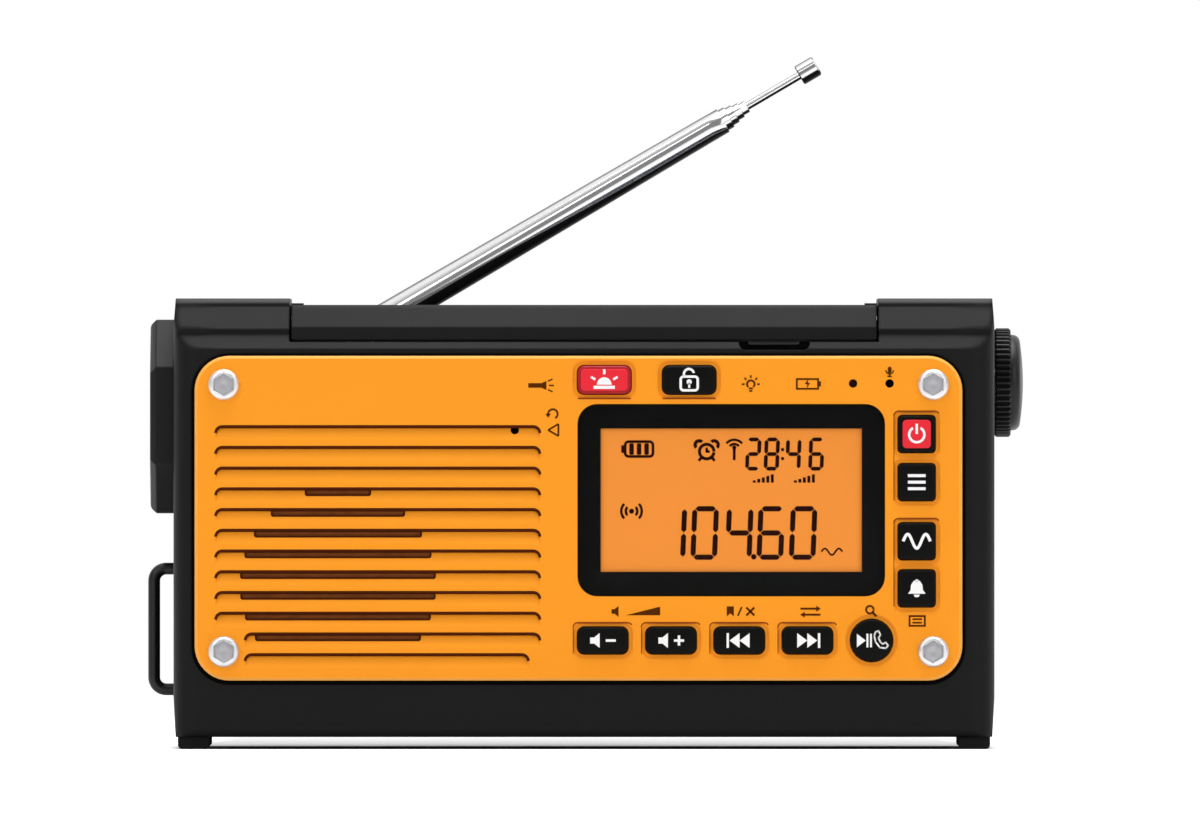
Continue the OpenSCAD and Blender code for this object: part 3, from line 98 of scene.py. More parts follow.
def new_material(name, color, rough, metal=0.0, spec=0.5, coat=0.0, alpha=1.0):
    """A principled material with its constants on the shader's own sockets."""
    mat = bpy.data.materials.new(name)
    mat.use_nodes = True
    for key, value in (("Base Color", (*color, 1)), ("Roughness", rough), ("Metallic", metal),
                       ("Specular IOR Level", spec), ("Coat Weight", coat), ("Coat Roughness", COAT_ROUGH),
                       ("Alpha", alpha)):
        set_shader(mat, key, value)
    return mat


def coords(mat):
    return node_of(mat, "ShaderNodeTexCoord").outputs


def axis_of(mat, source, axis):
    return node_of(mat, "ShaderNodeSeparateXYZ", {"Vector": source}).outputs[axis]


def math_node(mat, operation, first, second=0):
    """One sum on two values, each an output or a number."""
    return node_of(mat, "ShaderNodeMath", {0: first, 1: second}, operation=operation).outputs[0]


def mapped(mat, source, start, end, low=0, high=1, kind="SMOOTHSTEP"):
    """Maps start to end of a value onto low to high."""
    inputs = {"Value": source, "From Min": start, "From Max": end, "To Min": low, "To Max": high}
    return node_of(mat, "ShaderNodeMapRange", inputs, interpolation_type=kind).outputs["Result"]


def noise(mat, scale, detail=3.0, stretch=(1, 1, 1)):
    """A noise texture in the object's own metres."""
    place = node_of(mat, "ShaderNodeMapping", {"Vector": coords(mat)["Object"], "Scale": stretch})
    inputs = {"Vector": place.outputs["Vector"], "Scale": scale, "Detail": detail}
    return node_of(mat, "ShaderNodeTexNoise", inputs).outputs["Fac"]


def mix_color(mat, share, first, second):
    inputs = {"Factor": share, "A": first, "B": second}
    return node_of(mat, "ShaderNodeMix", inputs, data_type="RGBA").outputs["Result"]


def tint(mat, share, dark, light):
    """Varies the base colour between two shades."""
    set_shader(mat, "Base Color", mix_color(mat, share, (*dark, 1), (*light, 1)))


def cover(mat, share, color):
    """Lays a colour over the base colour by a share."""
    base = mat.node_tree.nodes[SHADER].inputs["Base Color"].links[0].from_socket
    set_shader(mat, "Base Color", mix_color(mat, share, base, (*color, 1)))


def vary_gloss(mat, source, low, high):
    """Lets the roughness follow a noise texture."""
    set_shader(mat, "Roughness", mapped(mat, source, NOISE_LOW, NOISE_HIGH, low, high, "LINEAR"))


def edge_radius(mat, edge, end_edge):
    """A radius that grows towards the two ends of the case."""
    away = math_node(mat, "ABSOLUTE", axis_of(mat, coords(mat)["Object"], "X"))
    return mapped(mat, away, CASE_HI.x - 10 * MM, CASE_HI.x - 2 * MM, edge, end_edge)


def bump(mat, source, strength, depth, edge=None):
    """Surface grain, over edges that are softened by a radius along the case and another at its ends."""
    node = node_of(mat, "ShaderNodeBump", {"Strength": strength, "Distance": depth, "Height": source})
    if edge:
        soft = node_of(mat, "ShaderNodeBevel", {"Radius": edge_radius(mat, *edge)}, samples=BEVEL_SAMPLES)
        feed(mat, soft.outputs["Normal"], node.inputs["Normal"])
    set_shader(mat, "Normal", node.outputs["Normal"])


def shade(color, factor):
    return tuple(min(1.0, c * factor) for c in color)


def moulded(name, color, rough, grain=0.35, grain_size=0.25, vary=0.06, spec=0.5, edge=None):
    """Moulded plastic: fine grain, slight cloudiness of colour and gloss."""
    mat = new_material(name, color, rough, spec=spec)
    cloud = noise(mat, CLOUD_SCALE)
    tint(mat, cloud, shade(color, 1 - vary), shade(color, 1 + vary))
    vary_gloss(mat, cloud, rough - GLOSS_VARY, rough + GLOSS_VARY)
    bump(mat, noise(mat, 1 / (grain_size * MM), detail=2.0), grain, 0.03 * MM, edge)
    return mat


def metal(name, color, rough, brush=(1, 1, 1), grain=0.05):
    """Bare or plated metal with faint drawn marks along one direction."""
    mat = new_material(name, color, rough, metal=1.0)
    marks = noise(mat, BRUSH_SCALE, stretch=brush)
    vary_gloss(mat, marks, rough * 0.8, rough * 1.3)
    bump(mat, marks, grain, 0.01 * MM)
    return mat


def grid_lines(mat, pitch, width, axis):
    """1 on thin lines across one axis of the object, spaced by pitch, else 0."""
    wrap = math_node(mat, "PINGPONG", axis_of(mat, coords(mat)["Object"], axis), pitch / 2)
    return math_node(mat, "LESS_THAN", wrap, width / 2)


# Meshes: every piece is built in a bmesh and then rides on a body

def add_object(name, data):
    obj = bpy.data.objects.new(name, data)
    bpy.context.scene.collection.objects.link(obj)
    return obj


def mesh_object(name, bm, mat):
    """An object with the mesh of a bmesh, which is freed."""
    mesh = bpy.data.meshes.new(name)
    bm.to_mesh(mesh)
    bm.free()
    mesh.materials.append(mat)
    return add_object(name, mesh)


def add_piece(name, bm, body, mat, slot=None, replaces=(), sharp_deg=35):
    """Turns a bmesh into a piece on a body, smooth except at sharp edges."""
    bmesh.ops.remove_doubles(bm, verts=bm.verts, dist=1e-7)
    bmesh.ops.recalc_face_normals(bm, faces=bm.faces)
    for face in bm.faces:
        face.smooth = True
    for edge in bm.edges:
        edge.smooth = len(edge.link_faces) == 2 and edge.calc_face_angle(0) < math.radians(sharp_deg)
    piece = mesh_object(name, bm, mat)
    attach(piece, body)
    if replaces:
        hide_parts(*replaces)


def loft(bm, rings, ends=True):
    """Skins a row of rings that have the same number of points, and closes its two ends."""
    made = [[bm.verts.new(point) for point in ring] for ring in rings]
    count = len(made[0])
    for ring_a, ring_b in zip(made, made[1:]):
        for i in range(count):
            j = (i + 1) % count
            bm.faces.new((ring_a[i], ring_a[j], ring_b[j], ring_b[i]))
    if ends:
        bm.faces.new(reversed(made[0]))
        bm.faces.new(made[-1])


def loop_loft(bm, rings):
    """Skins a row of rings and goes on from the last to the first."""
    loft(bm, [*rings, rings[0]], ends=False)


def lofted_piece(name, rings, body, mat, slot=None, replaces=(), **options):
    """A piece that is one loft."""
    bm = bmesh.new()
    loft(bm, rings)
    add_piece(name, bm, body, mat, slot, replaces, **options)


def rounded_outline(width, height, radius, steps=6):
    """Points of a rounded rectangle about the origin."""
    points = []
    for quarter, (sx, sz) in enumerate(((1, 1), (-1, 1), (-1, -1), (1, -1))):
        points += arc_points(sx * (width / 2 - radius), sz * (height / 2 - radius), radius,
                             90 * quarter, 90 * quarter + 90, steps)
    return points


def arc_points(x, z, radius, start, end, steps):
    """Points along an arc between two angles in degrees."""
    angles = [math.radians(start + (end - start) * i / steps) for i in range(steps + 1)]
    return [(x + radius * math.cos(a), z + radius * math.sin(a)) for a in angles]


def ring_at(points, x, z, y):
    """Places an outline in a plane across Y."""
    return [Vector((x + px, y, z + pz)) for px, pz in points]


def ring_back(ring, y):
    """A ring again, further along Y."""
    return [Vector((p.x, y, p.z)) for p in ring]


def middle(node):
    """The middle of a node in the front view."""
    lo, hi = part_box(node)
    return (lo.x + hi.x) / 2, (lo.z + hi.z) / 2


def soft_rings(width, height, corner, place, y_front, soft):
    """Rings from a flat front round a soft edge to the side walls."""
    rings = []
    for deg in (90, 67.5, 45, 22.5, 0):
        inset = soft * (1 - math.cos(math.radians(deg)))
        y = y_front + soft * (1 - math.sin(math.radians(deg)))
        outline = rounded_outline(width - 2 * inset, height - 2 * inset, max(corner - inset, 0.1 * MM))
        rings.append(ring_at(outline, *place, y))
    return rings


def turned_rings(origin, axis, profile, steps=48):
    """Rings of a profile of (radius, distance along the axis) that is turned about an axis."""
    axis = Vector(axis).normalized()
    side = axis.orthogonal().normalized()
    other = axis.cross(side)
    rings = []
    for radius, along in profile:
        middle_point = Vector(origin) + axis * along
        rings.append([middle_point + side * u + other * v
                      for u, v in arc_points(0, 0, radius, 0, 360, steps)[:-1]])
    return rings


# Figures for print, keys and display: outlines in millimetres about their middle

def bar(x0, z0, x1, z1, width):
    """A straight stroke with square ends."""
    dx, dz = x1 - x0, z1 - z0
    length = math.hypot(dx, dz)
    nx, nz = -dz / length * width / 2, dx / length * width / 2
    return [(x0 + nx, z0 + nz), (x0 - nx, z0 - nz), (x1 - nx, z1 - nz), (x1 + nx, z1 + nz)]


def disc(x, z, radius, steps=20):
    return arc_points(x, z, radius, 0, 360, steps)[:-1]


def half_disc(x, z, radius):
    return arc_points(x, z, radius, 0, 180, 16)


def arc(x, z, radius, start, end, width, steps=14):
    """A curved stroke between two angles in degrees."""
    outer = arc_points(x, z, radius + width / 2, start, end, steps)
    return outer + arc_points(x, z, radius - width / 2, end, start, steps)


def frame_bars(width, height, line):
    """Four strokes of a rectangle's outline."""
    w, h = width / 2, height / 2
    return [bar(-w, h - line / 2, w, h - line / 2, line), bar(-w, line / 2 - h, w, line / 2 - h, line),
            bar(line / 2 - w, line - h, line / 2 - w, h - line, line),
            bar(w - line / 2, line - h, w - line / 2, h - line, line)]


def round_frame(width, height, radius, line):
    """The outline of a rounded rectangle in four strokes and four corners."""
    w, h = width / 2 - line / 2, height / 2 - line / 2
    x, z = w - radius, h - radius
    strokes = [bar(-x, h, x, h, line), bar(-x, -h, x, -h, line),
               bar(-w, -z, -w, z, line), bar(w, -z, w, z, line)]
    corners = ((x, z, 0), (-x, z, 90), (-x, -z, 180), (x, -z, 270))
    return strokes + [arc(cx, cz, radius, start, start + 90, line, 6) for cx, cz, start in corners]


def triangle(x, z, width, height):
    """Points right for a positive width, left for a negative one."""
    return [(x - width / 2, z - height / 2), (x + width / 2, z), (x - width / 2, z + height / 2)]


def wave_stroke(length, height, width, turns=1.5, steps=36):
    """A sine curve drawn as one stroke."""
    mids = []
    for i in range(steps + 1):
        t = i / steps
        mids.append((length * (t - 0.5), height / 2 * math.sin(2 * math.pi * turns * t)))
    upper, lower = [], []
    for i, (x, z) in enumerate(mids):
        ax, az = mids[max(0, i - 1)]
        bx, bz = mids[min(steps, i + 1)]
        size = math.hypot(bx - ax, bz - az)
        nx, nz = (az - bz) / size * width / 2, (bx - ax) / size * width / 2
        upper.append((x + nx, z + nz))
        lower.append((x - nx, z - nz))
    return upper + lower[::-1]


def rays(x, z, start, end, angles, width):
    """Strokes that spread from a point, at angles in degrees."""
    strokes = []
    for a in map(math.radians, angles):
        c, s = math.cos(a), math.sin(a)
        strokes.append(bar(x + start * c, z + start * s, x + end * c, z + end * s, width))
    return strokes


def closed_line(corners, width):
    """Strokes round a polygon."""
    return [bar(*here, *after, width) for here, after in zip(corners, corners[1:] + corners[:1])]


def moved(figures, dx, dz, scale=1.0):
    return [[(dx + scale * x, dz + scale * z) for x, z in figure] for figure in figures]


def print_figures(bm, figures, place, y_surface, height=0.05, sink=0.03):
    """Lays figures on a front-facing surface, each a thin prism; their sizes are in millimetres."""
    for figure in figures:
        points = [(x * MM, z * MM) for x, z in figure]
        loft(bm, [ring_at(points, *place, y) for y in (y_surface + sink * MM, y_surface - height * MM)])


# Signs on the keys

BEACON = [half_disc(0, -0.8, 1.25), bar(-1.8, -1.25, 1.8, -1.25, 0.55),
          *rays(0, -0.8, 1.75, 2.6, (30, 90, 150), 0.4)]
LOCK_BODY = round_frame(3.3, 2.75, 0.5, 0.42) + [disc(0, 0.25, 0.45), bar(0, 0.1, 0, -0.75, 0.36)]
PADLOCK = moved(LOCK_BODY, 0, -0.6) + [arc(-0.05, 1.0, 0.85, 12, 205, 0.4)]
POWER = [arc(0, -0.1, 1.3, -240, 60, 0.42), bar(0, 0, 0, 1.75, 0.42)]
MENU = [bar(-1.5, z, 1.5, z, 0.5) for z in (-1.1, 0, 1.1)]
SINE = [wave_stroke(4.6, 2.4, 0.5)]
BELL_DOME = [(-1.5, -0.9), (-1.05, -0.3), (-0.95, 0.6), (-0.5, 1.3), (0.5, 1.3), (0.95, 0.6), (1.05, -0.3),
             (1.5, -0.9)]
BELL_CLAPPER = [(x, -1.05 - 0.9 * (z + 1.05)) for x, z in half_disc(0, -1.05, 0.5)]
BELL = [BELL_DOME, half_disc(0, 1.2, 0.35), BELL_CLAPPER]
LOUDSPEAKER = [[(-0.9, -0.45), (-0.3, -0.45), (0.5, -1.1), (0.5, 1.1), (-0.3, 0.45), (-0.9, 0.45)]]
SOFTER = moved(LOUDSPEAKER, -1.1, 0, 1.15) + [bar(0.5, 0, 2.2, 0, 0.42)]
LOUDER = SOFTER + [bar(1.35, 0.21, 1.35, 0.85, 0.42), bar(1.35, -0.85, 1.35, -0.21, 0.42)]
SKIP_BACK = [bar(-1.95, -1.25, -1.95, 1.25, 0.4), triangle(-0.8, 0, -1.7, 2.5), triangle(0.9, 0, -1.7, 2.5)]
SKIP_FORWARD = [[(-x, z) for x, z in figure] for figure in SKIP_BACK]
HANDSET = ((0.65, 1.45), (1.15, 1.65), (1.5, 0.95), (1.15, 0.45), (1.5, -0.3), (1.9, -0.6), (2.35, -0.3),
           (2.8, -0.85), (2.4, -1.3), (1.4, -1.2), (0.65, -0.2), (0.45, 0.8))
PLAY_AND_CALL = [triangle(-1.75, 0, 1.5, 2.3), *[bar(x, -1.15, x, 1.15, 0.33) for x in (-0.72, -0.12)],
                 *closed_line(HANDSET, 0.27), *[disc(x, z, 0.135, 10) for x, z in HANDSET]]


# Signs printed on the plate

TORCH = [bar(-2.6, 0, 0.1, 0, 0.9), [(0.1, -0.5), (1.0, -0.9), (1.0, 0.9), (0.1, 0.5)],
         *rays(-0.6, 0, 2.1, 3.1, (-24, 0, 24), 0.28)]
BULB = [arc(0, 0.35, 0.75, -50, 230, 0.4), bar(-0.4, -0.5, 0.4, -0.5, 0.36), bar(-0.3, -1.0, 0.3, -1.0, 0.36),
        *rays(0, 0.35, 1.25, 1.8, (0, 45, 90, 135, 180), 0.34)]
BOLT = [(-0.45, 0.1), (0.2, 1.0), (0.05, 0.2), (0.5, 0.2), (-0.2, -1.0), (-0.02, -0.05), (-0.45, -0.05)]
CHARGING = frame_bars(4.6, 2.3, 0.36) + [bar(2.3, 0, 2.7, 0, 1.0), BOLT]
MICROPHONE = [rounded_outline(0.75, 1.3, 0.36), arc(0, -0.05, 0.75, 180, 360, 0.28),
              bar(0, -0.85, 0, -1.2, 0.28), bar(-0.45, -1.3, 0.45, -1.3, 0.28)]
RETURN_ARROW = [arc(0, 0, 0.95, -60, 190, 0.38), [(-1.5, 0.05), (-0.4, 0.05), (-0.95, -0.75)]]
POINTER = closed_line(((-1.15, 0), (0.9, 1.2), (0.9, -1.2)), 0.36)
VOLUME_WEDGE = [[(-2.2, -0.75), (4.6, -0.75), (4.6, 0.95)], *moved(LOUDSPEAKER, -4.2, 0)]
RIBBON = [(-2.9, 1.0), (-2.9, -1.0), (-2.2, -0.35), (-1.5, -1.0), (-1.5, 1.0)]
BOOKMARK = [RIBBON, bar(1.0, -0.8, 2.6, 0.8, 0.42), bar(1.0, 0.8, 2.6, -0.8, 0.42),
            bar(-0.7, -0.9, 0.1, 0.9, 0.34)]
SWAP_ARROWS = [bar(-2.0, 0.55, 1.2, 0.55, 0.4), triangle(1.6, 0.55, 0.9, 1.2),
               bar(-1.2, -0.65, 2.0, -0.65, 0.4), triangle(-1.6, -0.65, -0.9, 1.2)]
MAGNIFIER = [arc(-0.25, 0.25, 0.75, 0, 352, 0.4, 24), bar(0.3, -0.3, 1.05, -1.05, 0.46)]
SCREEN = frame_bars(3.4, 2.3, 0.36) + [bar(-0.95, z, 0.95, z, 0.32) for z in (-0.35, 0.35)]


# Display figures: seven-segment digits with a slight lean, and small signs

SEGMENTS = {"0": "abcdef", "1": "bc", "2": "abged", "4": "fgbc", "6": "afgedc", "8": "abcdefg"}
LEAN = 0.04


def segment(x0, z0, x1, z1, width, gap):
    """A stroke with pointed ends between two corners of a digit."""
    length = math.hypot(x1 - x0, z1 - z0)
    ux, uz = (x1 - x0) / length, (z1 - z0) / length
    nx, nz = -uz * width / 2, ux * width / 2
    tip, shoulder = gap, gap + width / 2
    points = []
    for at, side in ((tip, 0), (shoulder, 1), (length - shoulder, 1), (length - tip, 0),
                     (length - shoulder, -1), (shoulder, -1)):
        points.append((x0 + ux * at + nx * side, z0 + uz * at + nz * side))
    return points


def digit(char, width, height, line, gap):
    w, h = width / 2 - line / 2, height / 2 - line / 2
    ends = {"a": (-w, h, w, h), "b": (w, h, w, 0), "c": (w, 0, w, -h), "d": (-w, -h, w, -h),
            "e": (-w, 0, -w, -h), "f": (-w, h, -w, 0), "g": (-w, 0, w, 0)}
    figures = [segment(*ends[key], line, gap) for key in SEGMENTS[char]]
    return [[(x + LEAN * z, z) for x, z in figure] for figure in figures]


BATTERY = [*round_frame(6.1, 3.5, 0.7, 0.54), bar(-3.55, 0, -3.05, 0, 1.5)]
for cell_x in (-1.5, 0, 1.5):
    BATTERY += moved([rounded_outline(0.9, 2.3, 0.3)], cell_x, 0)
ALARM_CLOCK = [arc(0, -0.2, 1.45, 0, 354, 0.62, 28), bar(0, -0.35, 0, 0.6, 0.5),
               bar(-0.2, -0.2, 0.6, -0.2, 0.5), arc(-1.5, 1.15, 0.8, 45, 225, 0.68),
               arc(1.5, 1.15, 0.8, -45, 135, 0.68),
               bar(-1.05, -1.4, -1.6, -2.05, 0.55), bar(1.05, -1.4, 1.6, -2.05, 0.55)]
RECEPTION = [bar(0, -2.0, 0, 0.5, 0.55), disc(0, 0.5, 0.42),
             arc(0, 0, 1.2, 40, 140, 0.48), arc(0, 0, 2.05, 40, 140, 0.48)]
SIGNAL_STEPS = [bar(-1.8 + 0.9 * i, -0.8, -1.8 + 0.9 * i, -0.35 + 0.3 * i, 0.58) for i in range(5)]
BROADCAST = [disc(0, 0, 0.5), *[arc(0, 0, r, a, a + 90, 0.5) for r in (1.15, 2.05) for a in (-45, 135)]]


# Finishes, one for each material slot of the record

BLACK = (0.0056, 0.0056, 0.0059)
ORANGE = (0.95, 0.325, 0.014)
RED = (0.79, 0.016, 0.032)
AMBER = (0.86, 0.28, 0.04)
CHROME = (0.86, 0.86, 0.87)
CELL_BLUE, CELL_SILVER = (0.006, 0.008, 0.022), (0.2, 0.21, 0.23)
PAINTED_HIGHLIGHT_GREY = (0.055, 0.055, 0.056)
CASE_LOOK = dict(color=BLACK, rough=0.45, grain=0.3, grain_size=0.22, spec=0.14, vary=0.1,
                 edge=(0.6 * MM, 2.0 * MM))

THREAD = 0.5 * MM
CELL_COLUMNS, CELL_ROWS = 8, 2.5
CELL_GAP = 0.5 * MM
FINGER_PITCH, FINGER_W = 1.9 * MM, 0.09 * MM
LCD_GLOW = 0.16
HIGHLIGHT_BAND_H = 1.2 * MM
FLAT_TOP = (0.92, 0.99)

# The antenna's painted dark reflection: where its band narrows, how far round it lies, how soft its edge is,
# and the top line
ANTENNA_TAPER = (-22 * MM, 16 * MM)
UNDERSIDE = 0.9
REFLECTION_BAND_EDGE = (0.05, 0.25)
REFLECTION_TOP_LINE = (0.6, 0.35, 0, 0.85)
REFLECTION_SHADE, REFLECTION_SPEC = 0.01, 0.05


def woven(name, color):
    """Loose cloth: two crossed sets of threads."""
    mat = new_material(name, color, 0.9, spec=0.1)
    threads = [grid_lines(mat, THREAD, THREAD * 0.55, axis) for axis in "XZ"]
    bump(mat, math_node(mat, "ADD", *threads), 0.6, 0.1 * MM)
    tint(mat, noise(mat, 400), shade(color, 0.7), shade(color, 1.3))
    return mat


def solar(name):
    """Dark cells under glass, with fine fingers and wider gaps between cells."""
    mat = new_material(name, CELL_BLUE, 0.22, spec=0.35, coat=0.4)
    lines = grid_lines(mat, FINGER_PITCH, FINGER_W, "X")
    for axis, pitch in (("Y", (CELL_HI.y - CELL_LO.y) / CELL_ROWS),
                        ("X", (CELL_HI.x - CELL_LO.x) / CELL_COLUMNS)):
        lines = math_node(mat, "MAXIMUM", lines, grid_lines(mat, pitch, CELL_GAP, axis))
    tint(mat, lines, CELL_BLUE, CELL_SILVER)
    bump(mat, noise(mat, 700), 0.08, 0.01 * MM)
    return mat


def lit_panel(name, color, glow):
    """A backlit panel: mostly its own colour, a little of it as light."""
    mat = new_material(name, color, 0.55, spec=0.1)
    tint(mat, noise(mat, 45), shade(color, 0.97), shade(color, 1.04))
    set_shader(mat, "Emission Color", (*color, 1))
    set_shader(mat, "Emission Strength", glow)
    return mat


def clear(name, alpha):
    """Window plastic: faint tint, gloss and a trace of fine scratches."""
    mat = new_material(name, (0.01, 0.01, 0.012), 0.06, alpha=alpha)
    bump(mat, noise(mat, 1500, stretch=(1, 1, 0.05)), 0.03, 0.005 * MM)
    return mat


def case_with_painted_highlight(name):
    """The black of the case with a painted highlight: paler grey on the rolled edges just under its flat top,
    where the top light falls.
    """
    mat = moulded(name, **CASE_LOOK)
    z = axis_of(mat, coords(mat)["Object"], "Z")
    up = axis_of(mat, node_of(mat, "ShaderNodeNewGeometry").outputs["Normal"], "Z")
    high = mapped(mat, z, CASE_HI.z - HIGHLIGHT_BAND_H, CASE_HI.z - HIGHLIGHT_BAND_H / 2)
    # Painted highlight: grey laid over the rolled edges below the top, not over the flat top itself
    cover(mat, math_node(mat, "MULTIPLY", high, mapped(mat, up, *FLAT_TOP, 1, 0)), PAINTED_HIGHLIGHT_GREY)
    return mat


def chrome_with_painted_reflection(name, at_foot, at_tip):
    """Chrome with a painted dark reflection as it lies at rest: a dark underside that begins further round at
    the tip than at the foot, and a fine painted dark line along the top."""
    mat = metal(name, CHROME, 0.1, brush=(1, 0.05, 1))
    own = coords(mat)
    side = math_node(mat, "ABSOLUTE", axis_of(mat, own["Normal"], "Y"))
    top = math_node(mat, "MULTIPLY", axis_of(mat, own["Normal"], "Z"), UNDERSIDE)
    lean = math_node(mat, "SUBTRACT", 1, math_node(mat, "ADD", side, top))
    taper = mapped(mat, axis_of(mat, own["Object"], "X"), *ANTENNA_TAPER, at_foot, at_tip)
    below = mapped(mat, math_node(mat, "SUBTRACT", lean, taper), *REFLECTION_BAND_EDGE)
    dark = math_node(mat, "MAXIMUM", below, mapped(mat, side, *REFLECTION_TOP_LINE))
    # Painted reflection: dark, non-metal colour where the chrome would mirror the dark body and floor
    tint(mat, dark, CHROME, shade(CHROME, REFLECTION_SHADE))
    set_shader(mat, "Metallic", math_node(mat, "SUBTRACT", 1, dark))
    set_shader(mat, "Specular IOR Level", REFLECTION_SPEC)
    return mat


FINISH = {
    "case_black": moulded("finish_case", **CASE_LOOK),
    "faceplate_orange": moulded("finish_plate", ORANGE, 0.5, grain=0.12, grain_size=0.3, spec=0.15,
                                vary=0.02),
    "key_black": moulded("finish_key", (0.0028, 0.0029, 0.0026), 0.42, grain=0.12, spec=0.08, vary=0.1),
    "key_red": moulded("finish_key_red", RED, 0.42, grain=0.1, spec=0.25, vary=0.03),
    "lens_clear": clear("finish_lens", 0.035),
    "mask_black": moulded("finish_mask", (0.0022, 0.0026, 0.0024), 0.35, grain=0.05, spec=0.06, vary=0.1),
    "lcd_amber": lit_panel("finish_lcd", AMBER, LCD_GLOW),
    "screw_silver": metal("finish_screw", (0.79, 0.795, 0.81), 0.4),
    "steel": metal("finish_steel", (0.6, 0.6, 0.61), 0.32),
    "board_green": moulded("finish_board", (0.012, 0.09, 0.03), 0.4, grain=0.2, grain_size=0.6),
    "part_grey": moulded("finish_part", (0.012, 0.003, 0.002), 0.5, spec=0.03),
    # Partly painted light: the cloth's brown and its lift stand in for light off the orange slot walls
    "mesh_cloth": woven("finish_mesh_painted_light", (0.38, 0.085, 0.026)),
    "cone_paper": moulded("finish_cone", (0.02, 0.02, 0.022), 0.8, grain=0.6, grain_size=0.5),
    "reflector_chrome": metal("finish_reflector", (0.9, 0.9, 0.91), 0.12),
    "led_pale": moulded("finish_led", (0.8, 0.72, 0.35), 0.35, grain=0.1),
    "loop_black": moulded("finish_loop", (0.006, 0.006, 0.006), 0.3, grain=0.15, grain_size=0.5, spec=0.4),
    "rubber_black": moulded("finish_rubber", (0.009, 0.009, 0.009), 0.75, grain=0.6, grain_size=0.3,
                            spec=0.15),
    "solar_dark": solar("finish_solar"),
    "diffuser_white": moulded("finish_diffuser", (0.82, 0.83, 0.82), 0.5, grain=0.3, grain_size=0.8),
    "antenna_chrome": chrome_with_painted_reflection("finish_antenna_painted_reflection", 0, 0.45),
    "brass": metal("finish_brass", (0.7, 0.52, 0.22), 0.3),
    "gear_white": moulded("finish_gear", (0.78, 0.78, 0.74), 0.45),
    "battery_blue": moulded("finish_battery", (0.03, 0.14, 0.42), 0.35, grain=0.05),
    "ferrite_dark": moulded("finish_ferrite", (0.03, 0.027, 0.027), 0.6, grain=0.5),
}
# Painted shade: a darker red for the border of the SOS cap round its bright red inlay
SOS_PAINTED_SHADE_RED = moulded("finish_sos_painted_shade", (0.36, 0.005, 0.014), 0.42, grain=0.1, spec=0.25, vary=0.03)
PRINT_BROWN = moulded("finish_print", (0.09, 0.022, 0.002), 0.7, grain=0.15, spec=0.02)
PRINT_WHITE = moulded("finish_sign", (0.9, 0.9, 0.9), 0.5, grain=0.1, spec=0.2, vary=0.02)
# Partly painted light: a brown cloth colour lifted against the shade of the slots
CLOTH_BROWN_PAINTED_LIGHT = woven("finish_cloth_painted_light", (0.23, 0.065, 0.014))
# Painted shadow: a dark orange for the shaded edges of the key recesses
PAINTED_SHADOW_ORANGE = moulded("finish_painted_recess_shadow", (0.3, 0.055, 0.004), 0.6, grain=0.15, spec=0.1, vary=0.03)
# Painted shade: a darker metal for the hollow floors of the screw sockets
SOCKET_PAINTED_SHADE = metal("finish_socket_painted_shade", (0.48, 0.48, 0.5), 0.5)
# Painted shade: dark brown for the shadow lines under the louvres and the linings of the slots
PAINTED_SHADE_BROWN = moulded("finish_painted_shade_line", (0.075, 0.014, 0.003), 0.7, grain=0.15, spec=0.03)
# Painted light: a lighter black than the case for the torch bezel at its end
END_BLACK_PAINTED_LIGHT = moulded("finish_end_painted_light", (0.009, 0.009, 0.0093), 0.4, grain=0.25, grain_size=0.22, spec=0.17,
                    vary=0.1)
# Painted light: a lighter black than the case for the knob's ribs and cap
KNOB_BLACK_PAINTED_LIGHT = moulded("finish_knob_painted_light", (0.012, 0.012, 0.0124), 0.34, grain=0.2, grain_size=0.22, spec=0.27,
                     vary=0.1)
# Painted shadow round and under the plate, and a paler orange painted as a highlight on its bevel
PAINTED_SHADOW_BLACK = moulded("finish_plate_painted_shadow", (0.0022, 0.0018, 0.0016), 0.8, grain=0.2, spec=0.03)
PAINTED_HIGHLIGHT_ORANGE = moulded("finish_plate_painted_highlight", (0.98, 0.44, 0.08), 0.5, grain=0.1, spec=0.15, vary=0.02)
SEGMENT_DARK = moulded("finish_segment", (0.02, 0.003, 0.001), 0.6, grain=0.05, spec=0.03)
STAGE_CHROME_PAINTED_REFLECTION = chrome_with_painted_reflection("finish_stage_painted_reflection", 0.2, 0.2)

STAGES = ("antenna_tube_2", "antenna_tube_3", "antenna_tube_4", "antenna_tube_5")
# Own finishes: painted light on the torch bezel, a painted reflection on the antenna tubes, a painted
# highlight on the case
OWN_FINISH = {"torch_bezel": END_BLACK_PAINTED_LIGHT, **dict.fromkeys(STAGES, STAGE_CHROME_PAINTED_REFLECTION),
              **dict.fromkeys(("front_case", "rear_case"), case_with_painted_highlight("finish_case_painted_highlight"))}
for node_name, node in NODES.items():
    slot = node.material_slots[0]
    slot.material = OWN_FINISH.get(node_name, FINISH[slot.material.name])


# Soft edges on the moulded pieces that carry over from the frame

SOFT_EDGES = {"lamp_lid": 0.35, "torch_bezel": 0.5, "crank_arm": 0.5, "port_cover": 0.3,
              "antenna_base_tube": 0.25, **dict.fromkeys(STAGES, 0.12)}


def soften(node, width, angle=35):
    """Joins split corners and rounds the edges of a piece by a small radius."""
    weld = node.modifiers.new("weld", "WELD")
    weld.merge_threshold = 1e-6
    round_off = node.modifiers.new("soft_edges", "BEVEL")
    round_off.width = width
    round_off.segments = 2
    round_off.limit_method = "ANGLE"
    round_off.angle_limit = math.radians(angle)
    round_off.harden_normals = True


for node_name, radius in SOFT_EDGES.items():
    soften(NODES[node_name], radius * MM)


# Keys: soft-edged caps with the flange and stem that hold them in the case

